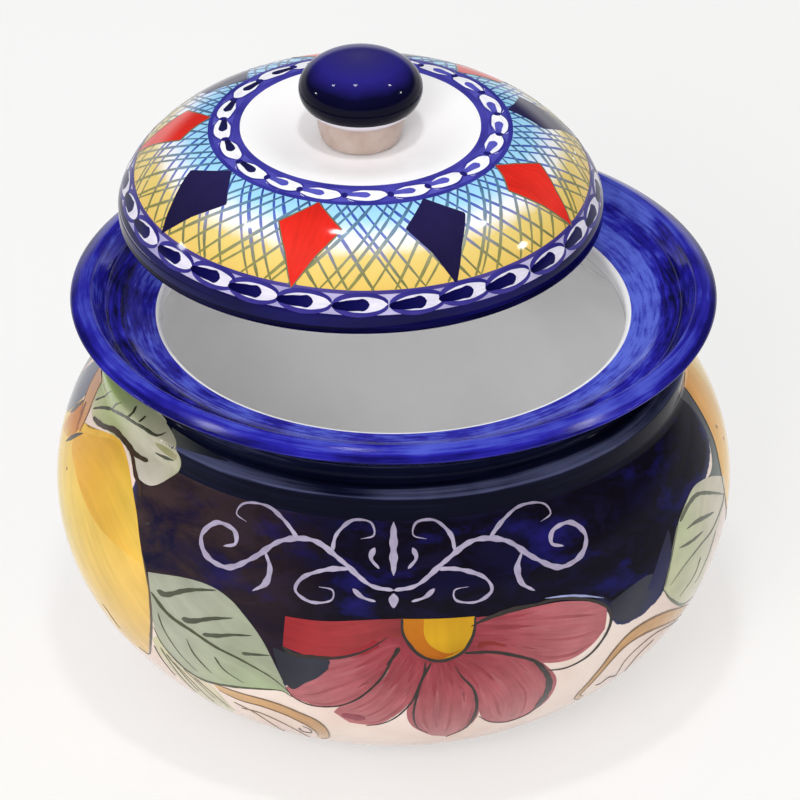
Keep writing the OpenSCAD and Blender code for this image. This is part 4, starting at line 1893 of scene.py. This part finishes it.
    def paint_side_leaf(self) -> None:
        """The upright sage leaf between the navy and the next lemon, and the slate behind it."""
        self.both(
            self.leaves,
            Film(
                left=((79, 83), (73.5, 89.5), (69, 93), (65, 94.3), (61, 92.3), (57.3, 88.5),
                      (55, 83.5), (53.3, 77.5), (51.8, 69.8)),
                right=((79, 82), (77.8, 76), (74, 73), (70.5, 68), (68.5, 60), (67.5, 50),
                       (61, 52), (55, 61.5), (51.8, 69.2)),
                colours=("#cbc4b2", "#c1bca8", "#b2b994", "#b9bc98"),
                far=("#cfc8b6", "#d2ccb9", "#cecbb3", "#c0c19e"),
                level=3,
            ),
            Film(
                left=((66, 91.5), (69, 92.2), (72, 91.4), (74.6, 92.6), (76.4, 96), (77.8, 100.5),
                      (78.3, 105.5), (77.8, 112.4), (74, 121)),
                right=((78.4, 83), (78.8, 89), (79.8, 94.5), (80.6, 99), (81.2, 105), (81.8, 111),
                       (82, 116), (83, 120), (84, 122.8)),
                colours=("#626c67", "#565e5c", "#40454b", "#31323c", "#2a2834"),
                level=1.5,
            ),
        )  # fmt: skip
        grey = ("#585b48", "#64675a")
        self.both(
            self.lines,
            Stroke(((58, 88.8), (61.5, 91.2), (65.5, 91.3), (70.5, 86.5), (77.5, 77.8)), 1.8,
                   grey, Tip.TAIL),
            Stroke(((78, 79.5), (76, 76.5), (72.5, 75), (68.5, 73.8), (63.5, 74), (58, 72.5),
                    (53.5, 69)), 1.1, grey, Tip.TAIL),
            Stroke(((59.5, 84.7), (63.5, 83.6), (70.5, 79.2)), 1.5, grey, Tip.BLADE),
            Stroke(((56.5, 80.6), (60.5, 79), (65, 78)), 1.2, grey, Tip.BLADE),
            Stroke(((71, 71), (67.5, 64.5), (63.5, 58.5)), 0.8, grey, Tip.TAIL),
            Stroke(((64, 69), (62, 63.5), (57.5, 60)), 0.9, grey, Tip.TAIL),
            Stroke(((51.5, 69.7), (54.3, 62.5), (60, 53.3), (66.5, 49)), 1.2, grey, Tip.BLADE),
            Stroke(((52, 70), (53.6, 78), (55.4, 84), (57.5, 88.8)), 0.7, grey, Tip.BLADE),
        )  # fmt: skip

    def paint_filigree(self) -> None:
        """Tendrils scratched through the navy over the daisy, the same to the left and right."""
        lilac = ("#a8a0b6", "#9990a8", "#a59bb2")
        lift = 2.2  # millimetres that the whole drawing is set up by
        fine = 0.72  # share of each vine's width that the scratched line takes
        vines = (
            (((0, 92.5), (4, 94), (9, 100.5), (14.5, 105.5), (20.5, 104), (25, 97.5), (29.5, 92.3),
              (34, 93.6), (36, 99), (33.8, 104), (30, 103.6), (29, 100), (31.2, 98.2)), 2.4, Tip.EVEN),
            (((7.5, 98.6), (11.5, 97.8), (15.6, 94.6), (16.8, 90), (14, 87), (10.6, 88.2),
              (10.4, 91.6), (12.8, 92.2)), 2.2, Tip.TAIL),
            (((17.5, 105.4), (20.8, 109.6), (25, 112.4), (29.4, 111.4), (30.4, 108.2),
              (28, 106.8)), 2.0, Tip.TAIL),
            (((11, 103), (10.5, 108), (7.8, 112), (4.4, 111.8), (3.6, 108.4), (6, 107.2)), 2.0,
             Tip.TAIL),
            (((23.2, 100), (21.8, 95.5), (22.2, 90.5), (24.4, 87)), 2.8, Tip.BLADE),
            (((2.5, 99), (4, 102), (3.4, 105)), 2.4, Tip.DROP),
            (((3, 88.8), (5.2, 90), (7, 92.6)), 2.2, Tip.DROP),
        )  # fmt: skip
        for spots, width, tip in vines:
            for side in (1, -1):
                mirrored = tuple((side * angle, height + lift) for angle, height in spots)
                self.filigree.line(Stroke(mirrored, fine * width, lilac, tip, 3))
        for spots in (((0, 97), (0, 104.5), (0, 112)), ((0, 91.5), (0, 89), (0, 86.8))):
            raised = tuple((angle, height + lift) for angle, height in spots)
            self.filigree.line(Stroke(raised, 2.8, lilac, Tip.BLADE, 4))

    def build(self, finishes: dict[str, Material]) -> None:
        """Paints every motif and joins the work in each colour into a piece.

        Args:
            finishes: Brush colours by layer name.
        """
        self.paint_lemon()
        self.paint_upright_lemon()
        self.paint_lobed_leaf()
        self.paint_sage_leaf()
        self.paint_lifted_ground()
        self.paint_side_leaf()
        self.paint_daisy()
        self.paint_scrolls()
        self.paint_filigree()
        for name in ("petals", "lemons", "leaves", "scrolls", "lines", "filigree"):
            getattr(self, name).finish(f"jar_{name}", finishes[name], "jar", "jar_glaze")


# ---------------------------------------------------------------- painting on the lid


class Kite(Enum):
    """The two enamels of the kites, from top to tip."""

    RED = ("#d2241c", "#dc2a20", "#e0342a", "#d82a22")
    NAVY = ("#252050", "#221c48", "#1d183e", "#1a1538")


@dataclass
class LidPainting:
    """Chain borders, a lattice and ten kites between them. Spots are angles and lengths.

    Each kite is given by its enamel and the angles of its top, left corner, tip and right corner.
    """

    canvas: Canvas
    kites: tuple[tuple[Kite, float, float, float, float], ...] = (
        (Kite.RED, -15.5, -26, -17, -5.5),
        (Kite.NAVY, 24, 14, 24, 34.8),
        (Kite.RED, 61, 54, 64.5, 75),
        (Kite.NAVY, 105, 97, 108, 118),
        (Kite.RED, 140, 129.5, 138, 149),
        (Kite.NAVY, 166, 157, 167.5, 177.5),
        (Kite.RED, 194.5, 184, 192.5, 203),
        (Kite.NAVY, 229, 218.5, 227, 239),
        (Kite.RED, 261, 251, 259.5, 271.5),
        (Kite.NAVY, 303.5, 291, 301.2, 314.5),
    )
    lines: int = 74  # brush lines in each family of the lattice
    leans: tuple[float, float] = (18.0, -21.5)  # how far each family turns on its way down
    band: tuple[float, float] = (51.8, 85.4)  # where the lattice starts and ends
    corner: float = 62.7  # length at which a kite is widest
    kite_bends: tuple[float, float] = (56.6, 73.2)  # lengths at which its sides bend
    kite_tip: float = 86.2
    inner_links: int = 20
    outer_links: int = 28
    inner_mid: float = 47.1  # middle of the inner chain's links
    outer_mid: float = 89.6
    shaded: tuple[float, float] = (200.0, 305.0)  # angles between which the inner drops are darker

    def __post_init__(self) -> None:
        """Takes a layer for each colour."""
        self.lattice = Painting(self.canvas)
        self.enamel = Painting(self.canvas, step=1.2)
        self.chains = Painting(self.canvas, tremor=0.03)

    def outer_shift(self, angle: float) -> float:
        """How far the outer chain strays from its marked circle: up, and most on the left."""
        return -0.9 - 1.5 * max(0.0, -math.sin(math.radians(angle)))

    def inner_shift(self, angle: float) -> float:
        """How far the inner chain strays from its marked circle: down, at the back alone."""
        return 1.1 * max(0.0, -math.cos(math.radians(angle)))

    def paint_lattice(self) -> None:
        """Two families of brush lines that cross, one in cobalt and one in greyed green."""
        low, high = self.band
        cobalt = ("#2e4192", "#4661b6", "#6a79c0", "#8485b0", "#7e7f62", "#737444")
        grey = ("#3f5f86", "#587f9c", "#7a90a4", "#94978a", "#888658", "#807e46")
        for k in range(self.lines):
            for lean, tones, level in zip(self.leans, (cobalt, grey), (2, 3)):
                start = 360 * k / self.lines + 0.7 * math.sin(2.3 * k + lean)
                turn = lean + 1.5 * math.sin(1.7 * k + lean)
                bow = 0.8 * math.sin(0.9 * k)
                middle = (start + 0.56 * turn + bow, (low + high) / 2)
                width = 1.04 + 0.24 * math.sin(4.1 * k + lean)
                foot = high + self.outer_shift(start + turn) - 0.2 * (1 + math.sin(3.1 * k))
                ends = (start, low), (start + turn, foot)
                self.lattice.line(Stroke((ends[0], middle, ends[1]), width, tones, level=level))

    def paint_kites(self) -> None:
        """Kites with their tops at the inner chain and their tips at the outer one."""
        upper, lower = self.kite_bends
        for k, (enamel, top, left, tip, right) in enumerate(self.kites):
            slip = 0.8 * math.sin(2.6 * k)
            up, down = (top, self.band[0]), (tip, self.kite_tip + self.outer_shift(tip))
            sides = (
                (up, ((top + left) / 2 + 0.6, upper), (left, self.corner + slip),
                 ((left + tip) / 2 + 0.8, lower), down),
                (up, ((top + right) / 2 - 0.4, upper), (right, self.corner - slip),
                 ((right + tip) / 2 - 0.8, lower), down),
            )  # fmt: skip
            self.enamel.fill(Film(*sides, enamel.value, level=4, sharp=True))
            if enamel is Kite.RED:
                for side in sides:
                    self.lattice.line(Stroke(side, 0.5, ("#6d6f58",), level=6, sharp=True))

    def paint_ring(
        self,
        low: float,
        high: float,
        tones: tuple[str, ...],
        level: float,
        shift: Callable[[float], float] | None = None,
    ) -> None:
        """Lays a band right round the lid between two lengths.

        Args:
            low: Length at its upper edge.
            high: Length at its lower edge.
            tones: Colours round it.
            level: Order above other films.
            shift: How far it strays at an angle, in millimetres.
        """
        steps = 24
        for k in range(steps):
            a, b = 360 * k / steps, 360 * (k + 1) / steps
            pair = (tones[k % len(tones)], tones[(k + 1) % len(tones)])
            wave = [
                0.25 * math.sin(0.7 * (i % steps)) + (shift(360 * i / steps) if shift else 0.0)
                for i in (k, k + 1)
            ]
            upper = ((a, low + wave[0]), (b, low + wave[1]))
            lower = ((a, high + wave[0]), (b, high + wave[1]))
            self.chains.fill(Film(upper, lower, pair, level=level))

    def paint_inner_chain(self) -> None:
        """White links in a cobalt band, each with a blue drop that runs in from behind."""
        stray = self.inner_shift
        self.paint_ring(43.0, 51.0, ("#4f4db0", "#4644a6", "#5856b6"), 1, stray)
        self.paint_ring(41.2, 43.7, ("#403c9e", "#4845a8", "#393694"), 2, stray)
        self.paint_ring(50.7, 52.1, ("#302f8c", "#3b3a9a"), 5, stray)
        pitch = 360 / self.inner_links
        for k in range(self.inner_links):
            a = pitch * k - 6.5 + 1.0 * math.sin(1.9 * k)
            mid = self.inner_mid + 0.35 * math.sin(2.7 * k) + stray(a + 0.5 * pitch)
            link = ((a + 0.04 * pitch, mid + 0.9), (a + 0.5 * pitch, mid + 0.2), (a + 0.98 * pitch, mid))
            dark = self.shaded[0] < a % 360 < self.shaded[1]
            tone = ("#17163f", "#1d1c52") if dark else ("#4a49ac", "#5a5abc", "#5554b6")
            drop = ((a, mid - 0.4), (a + 0.3 * pitch, mid - 0.5), (a + 0.6 * pitch, mid - 0.1))
            knot = ((a - 0.07 * pitch, mid + 0.3), (a + 0.08 * pitch, mid - 0.2))
            upper = ((a + 0.12 * pitch, mid - 2.6), (a + 0.5 * pitch, mid - 3.3),
                     (a + 0.9 * pitch, mid - 2.3), (a + pitch, mid - 0.3))  # fmt: skip
            lower = ((a, mid + 1.2), (a + 0.3 * pitch, mid + 3.0), (a + 0.7 * pitch, mid + 3.1),
                     (a + pitch, mid + 0.6))  # fmt: skip
            for mark in (
                Stroke(link, 6.4, ("#f4f4fb",), Tip.OVAL, 3),
                Stroke(upper, 0.9, ("#3c3996",), Tip.BLADE, 4),
                Stroke(lower, 1.0, ("#353290",), Tip.BLADE, 4),
                Stroke(drop, 3.2, tone, Tip.DROP, 6),
                Stroke(knot, 2.6, ("#1d1a66", "#28247a"), Tip.OVAL, 7),
            ):
                self.chains.line(mark)

    def paint_outer_chain(self) -> None:
        """Lilac ovals with blue edges, each with a near-black drop that runs in from behind."""
        self.paint_ring(85.4, 94.2, ("#bab4d4", "#aca6cc", "#9a94c2"), 1, self.outer_shift)
        self.paint_ring(84.9, 86.2, ("#463c80", "#3e3680", "#504688"), 3, self.outer_shift)
        self.paint_ring(93.1, 95.6, ("#0e0c46", "#0a093c", "#121054"), 3, self.outer_shift)
        self.paint_ring(94.0, 96.6, ("#0e0c46", "#0a093c", "#121054"), 2.5)
        pitch = 360 / self.outer_links
        turns = np.linspace(0, 2 * np.pi, 15)
        for k in range(self.outer_links):
            a = pitch * k - 6.2 + 0.8 * math.sin(1.6 * k)
            mid = self.outer_mid + 0.25 * math.sin(2.2 * k) + self.outer_shift(a + 0.5 * pitch)
            half = 0.5 * pitch
            oval = tuple((a + half * (1 + math.cos(v)), mid + 3.35 * math.sin(v)) for v in turns)
            link = ((a + 0.3, mid), (a + half, mid), (a + 1.98 * half, mid))
            drop = ((a - 0.05 * pitch, mid + 0.5), (a + 0.25 * pitch, mid + 0.3),
                    (a + 0.66 * pitch, mid - 0.1))  # fmt: skip
            blue = ("#332d7c", "#3c3686", "#2b2672")
            for mark in (
                Stroke(link, 6.4, ("#d0ccde", "#dad6e4"), Tip.OVAL, 4),
                Stroke(oval, 1.6, blue, level=5),
                Stroke(drop, 4.5, ("#050534", "#0b0a44", "#15134e"), Tip.DROP, 6),
            ):
                self.chains.line(mark)

    def build(self, finishes: dict[str, Material]) -> None:
        """Paints the lid and joins the work in each colour into a piece.

        Args:
            finishes: Brush colours by layer name.
        """
        self.paint_lattice()
        self.paint_kites()
        self.paint_inner_chain()
        self.paint_outer_chain()
        for name in ("lattice", "enamel", "chains"):
            getattr(self, name).finish(f"lid_{name}", finishes[name], "lid", "lid_glaze")


# ---------------------------------------------------------------- the studio


@dataclass(frozen=True)
class Lamp:
    """A square area lamp."""

    name: str
    place: tuple[float, float, float]  # where it hangs, in metres
    aim: tuple[float, float, float]  # the point that it faces
    size: float  # its side in metres
    watts: float

    def hang(self) -> Piece:
        """Puts the lamp in the scene.

        Returns:
            The lamp.
        """
        data = bpy.data.lights.new(self.name, "AREA")
        data.size = self.size
        data.energy = self.watts
        lamp = bpy.data.objects.new(self.name, data)
        lamp.location = self.place
        way = Vector(self.aim) - Vector(self.place)
        lamp.rotation_euler = way.to_track_quat("-Z", "Y").to_euler()
        bpy.context.scene.collection.objects.link(lamp)
        return lamp


@dataclass(frozen=True)
class Studio:
    """A pale floor, soft light from above and a camera a long way off, as for a catalogue."""

    rim_h: float  # height of the rim's edge, which the camera is set by, in metres
    distance: float = 2.5  # from the rim's centre to the camera, in metres
    elevation: float = 30.6  # of the camera over the rim's plane, in degrees
    image: float = 800.0  # side of the image in pixels
    focal_px: float = 7373.5  # focal length in pixels
    rim_x: float = 392.4  # where the rim's centre falls in the image
    rim_y: float = 291.74
    sensor: float = 36.0  # width of the film in millimetres
    floor_half: float = 3.0
    dome: float = 0.69  # light from all round
    ceiling: float = 0.08  # what polished surfaces see overhead
    bulbs: tuple[tuple[float, float, float], ...] = (
        (-0.11, 0.03, 0.99),
        (0.56, 0.14, 0.81),
        (-0.53, 0.12, 0.84),
        (0.86, 0.03, 0.5),
        (-0.93, 0.1, 0.35),
    )  # directions of the small lamps that leave the glints
    bulb_aim: tuple[float, float, float] = (0, 0, 0.2)  # the point that they face
    bulb_reach: float = 1.8  # how far from it they hang
    bulb_size: float = 0.11
    bulb_watts: float = 2.4
    key: Lamp = Lamp("key", (-0.7, -2.2, 1.45), (0, 0, 0.12), 1.0, 28.5)
    overhead: Lamp = Lamp("overhead", (-0.01, -0.42, 1.5), (-0.01, 0.016, 0.19), 0.13, 4.4)
    fill_place: tuple[float, float, float] = (-0.05, -0.01, 0.095)
    fill_size: float = 0.03
    fill_watts: float = 0.019

    def camera(self) -> None:
        """Sets the camera on the line at its elevation to the rim, turned to frame the jar."""
        e = math.radians(self.elevation)
        back = Vector((0, -math.cos(e), math.sin(e)))
        eye = Vector((0, 0, self.rim_h)) + back * self.distance
        turn = math.atan((self.image / 2 - self.rim_x) / self.focal_px)
        tilt = math.atan((self.image / 2 - self.rim_y) / self.focal_px)
        data = bpy.data.cameras.new("camera")
        data.sensor_width = self.sensor
        data.lens = self.focal_px * self.sensor / self.image
        data.clip_start, data.clip_end = 0.1, 100.0
        camera = bpy.data.objects.new("camera", data)
        camera.location = eye
        camera.rotation_euler = (math.pi / 2 - e - tilt, 0, -turn)
        bpy.context.scene.collection.objects.link(camera)
        bpy.context.scene.camera = camera

    def fill(self) -> None:
        """Hangs a small unseen lamp in the open jar, so that its inside isn't lost in shade."""
        data = bpy.data.lights.new("fill", "POINT")
        data.energy = self.fill_watts
        data.shadow_soft_size = self.fill_size
        lamp = bpy.data.objects.new("fill", data)
        lamp.location = self.fill_place
        lamp.visible_camera = lamp.visible_glossy = False
        bpy.context.scene.collection.objects.link(lamp)

    def seen(self, tree: Tree) -> Socket:
        """Tells the rays that see from the rays that light.

        Args:
            tree: The node tree.

        Returns:
            The output that is 1 for camera, glossy and transmission rays, and 0 for others.
        """
        rays = add_node(tree, "LightPath")
        camera, glossy, clear = (
            rays.outputs[f"Is {kind} Ray"] for kind in ("Camera", "Glossy", "Transmission")
        )
        mirrored = add_node(tree, "Math", {"operation": "MAXIMUM", 0: glossy, 1: clear})
        seen = add_node(tree, "Math", {"operation": "MAXIMUM", 0: camera, 1: mirrored})
        return seen.outputs["Value"]

    def world(self) -> None:
        """Lights softly from all round, with a white backdrop under a dark ceiling."""
        world = bpy.data.worlds.new("studio")
        bpy.context.scene.world = world
        world.use_nodes = True
        tree = world.node_tree
        tree.nodes.clear()
        up = add_node(tree, "TexCoord").outputs["Generated"]
        rise = add_node(tree, "SeparateXYZ", {"Vector": up}).outputs["Z"]
        strength = add_node(
            tree,
            "MapRange",
            {"From Min": 0.04, "From Max": 0.2, "To Min": 1.0, "To Max": self.ceiling, "Value": rise},
        )
        soft = add_node(tree, "Background", {"Color": (1, 1, 1, 1), "Strength": self.dome})
        backdrop = add_node(tree, "Background", {"Color": (1, 1, 1, 1), "Strength": strength})
        mixed = add_node(tree, "MixShader", {0: self.seen(tree), 1: soft, 2: backdrop})
        add_node(tree, "OutputWorld", {"Surface": mixed})

    def floor(self) -> None:
        """Lays a pale floor that meets the white background where it isn't in shadow."""
        half = self.floor_half
        mesh = bpy.data.meshes.new("floor")
        mesh.from_pydata(
            [(-half, -half, 0), (half, -half, 0), (half, half, 0), (-half, half, 0)], [], [(0, 1, 2, 3)]
        )
        material, tree, shader = new_material("pale_floor")
        plain = {"Base Color": rgba("#f4f3f2"), "Roughness": 0.9, "Specular IOR Level": 0.1}
        for name, value in plain.items():
            shader.inputs[name].default_value = value
        white = add_node(tree, "Emission", {"Color": (1, 1, 1, 1), "Strength": 1.0})
        half_seen = add_node(tree, "Math", {"operation": "MULTIPLY", 0: self.seen(tree), 1: 0.5})
        lifted = add_node(tree, "MixShader", {0: half_seen, 1: shader, 2: white})
        tree.links.new(lifted.outputs[0], tree.nodes["Material Output"].inputs["Surface"])
        mesh.materials.append(material)
        floor = bpy.data.objects.new("floor", mesh)
        bpy.context.scene.collection.objects.link(floor)

    def build(self) -> None:
        """Sets up the camera, floor, world and lamps."""
        self.camera()
        self.world()
        self.floor()
        for lamp in (self.key, self.overhead):
            lamp.hang().visible_glossy = False
        for k, way in enumerate(self.bulbs):
            place = tuple(self.bulb_reach * v + aim for v, aim in zip(way, self.bulb_aim))
            bulb = Lamp(f"bulb_{k}", place, self.bulb_aim, self.bulb_size, self.bulb_watts)
            bulb.hang().visible_diffuse = False
        self.fill()
        bpy.context.scene.view_settings.view_transform = "Standard"


# ---------------------------------------------------------------- main


def main() -> None:
    """Builds the pieces in order."""
    logging.basicConfig(level=logging.INFO, format="%(message)s")
    low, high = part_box("jar_body")
    jar = Jar(belly_r=(high.x - low.x) / 2 / MM, crest_h=high.z / MM)
    low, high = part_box("lid")
    knob_low, knob_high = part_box("lid_knob")
    lid = Lid(
        centre=((high.x + low.x) / 2 / MM, (high.y + low.y) / 2 / MM),
        edge_h=low.z / MM + Lid.flange_depth,
        radius=(high.x - low.x) / 2 / MM,
        knob_r=(knob_high.x - knob_low.x) / 2 / MM,
        knob_top_h=knob_high.z / MM,
    )
    white = WhiteTinGlaze().build()
    # The inside takes a whiter copy of the white tin glaze: painted light against the shade inside the jar.
    inside = WhiteTinGlaze("inner_tin_glaze_painted_light", "#f9f8f8", "#fefefe").build()
    under_cap = WhiteTinGlaze("under_cap_glaze", "#dcd7e2", "#e9e4ee").build()
    # The stem takes a darker, warmer copy of the white glaze: painted shade under the cap.
    stem = WhiteTinGlaze("stem_glaze_painted_shade", "#b29b90", "#c1aea4", pool_mm=9.0).build()
    rim_h = jar.rim_h
    # The rim is painted darker on its outer edge, lighter on its bevel and lighter towards the right: painted
    # shade and painted light, partly the glaze breaking over the edge.
    rim = BrushedCobalt(
        "rim_cobalt", "#0f0c5c", "#25219c", "#4a55c0", run_mm=34.0, cloud_mm=22.0, contrast=0.17,
        roughness=0.17, gloss=0.15,
        painted_side_light=((25, 0), (50, 0.05), (85, 0.06), (93, -0.03), (100, -0.07)),
        breaks_and_painted_light=((rim_h - 2.4, 0.0), (rim_h - 1.6, 0.06), (rim_h - 0.9, -0.1), (rim_h + 0.9, -0.1),
                (rim_h + 1.6, 0.05), (rim_h + 2.8, 0.06), (rim_h + 3.6, 0.0)),
    ).build()  # fmt: skip
    # The dish is painted darker in its groove and lighter on its right side: painted shade and painted light,
    # partly where the glaze pools in the groove.
    dish = BrushedCobalt(
        "dish_cobalt", "#08073c", "#2824a6", "#5e6edc", streak_mm=1.1, run_mm=16.0, cloud_mm=20.0,
        contrast=0.16, gloss=0.2,
        painted_side_light=((40, 0), (66, 0.05), (79, 0.12), (88, 0.1), (92, 0), (96, -0.06)),
        breaks_and_painted_light=((jar.seat_h, 0.02), (jar.seat_h + 1.3, 0.03), (rim_h - 4.5, -0.09), (rim_h - 3.2, -0.08),
                (rim_h - 1.5, 0.0), (rim_h + 3.6, 0.01)),
    ).build()  # fmt: skip
    collar_h = jar.collar_h
    # The bands by height round the collar are painted highlight and painted shade, partly where the glaze
    # breaks thin over the corner.
    navy = BrushedCobalt(
        "neck_navy", "#06071a", "#13162e", "#565a7c", contrast=0.2, gloss=0.05,
        breaks_and_painted_light=((collar_h - 8.0, -0.2), (collar_h - 1.3, -0.16), (collar_h - 0.4, 0.15),
                (collar_h + 0.9, 0.14), (collar_h + 1.5, -0.12), (collar_h + 3.0, -0.1),
                (collar_h + 7.0, 0.05), (collar_h + 14.0, 0.0), (collar_h + 17.6, -0.04)),
    ).build()  # fmt: skip
    edge = BrushedCobalt(
        "lid_edge_navy", "#04041a", "#09082c", "#181754", contrast=0.14, gloss=0.05
    ).build()
    # The knob's cobalt is painted light on top and painted shade underneath.
    cap = TopLitCobalt().build()
    painting = BellyPainting(jar.canvas())
    jar.build([BareEarthenware().build(), BellyGlaze().build(), navy, rim, dish, inside],
              painting.navy_edge)  # fmt: skip
    # A brush colour takes its streaks, run and blots in millimetres, and then their depth.
    painting.build(
        {
            "petals": BrushColour("manganese_rose_wash", 1.8, 30.0, 10.0, 0.24, gloss=0.18).build(),
            "lemons": BrushColour("antimony_yellow_wash", 4.0, 40.0, 22.0, 0.16, gloss=0.15).build(),
            "leaves": BrushColour("copper_green_wash", 5.0, 30.0, 14.0, 0.16, gloss=0.18).build(),
            "scrolls": BrushColour("iron_ochre_wash", 1.6, 20.0, 10.0, 0.2).build(),
            "lines": BrushColour("manganese_outline", 0.8, 12.0, 5.0, 0.2).build(),
            "filigree": BrushColour("scratched_lilac_slip", 0.5, 6.0, 3.0, 0.2).build(),
        }
    )
    lid.build([LidGlaze().build(), edge, white])
    lid.knob([cap, under_cap, stem])
    LidPainting(lid.canvas()).build(
        {
            "lattice": BrushColour("cobalt_pencil_line", 0.8, 9.0, 7.0, 0.25).build(),
            "enamel": BrushColour("flat_enamel", 1.2, 24.0, 12.0, 0.16).build(),
            "chains": BrushColour("cobalt_chain_blue", 0.9, 8.0, 6.0, 0.16, gloss=0.12).build(),
        }
    )
    Studio(rim_h=jar.rim_h * MM).build()
    log.info("rim edge at %.2f mm", jar.rim_h)


if __name__ == "__main__":
    main()
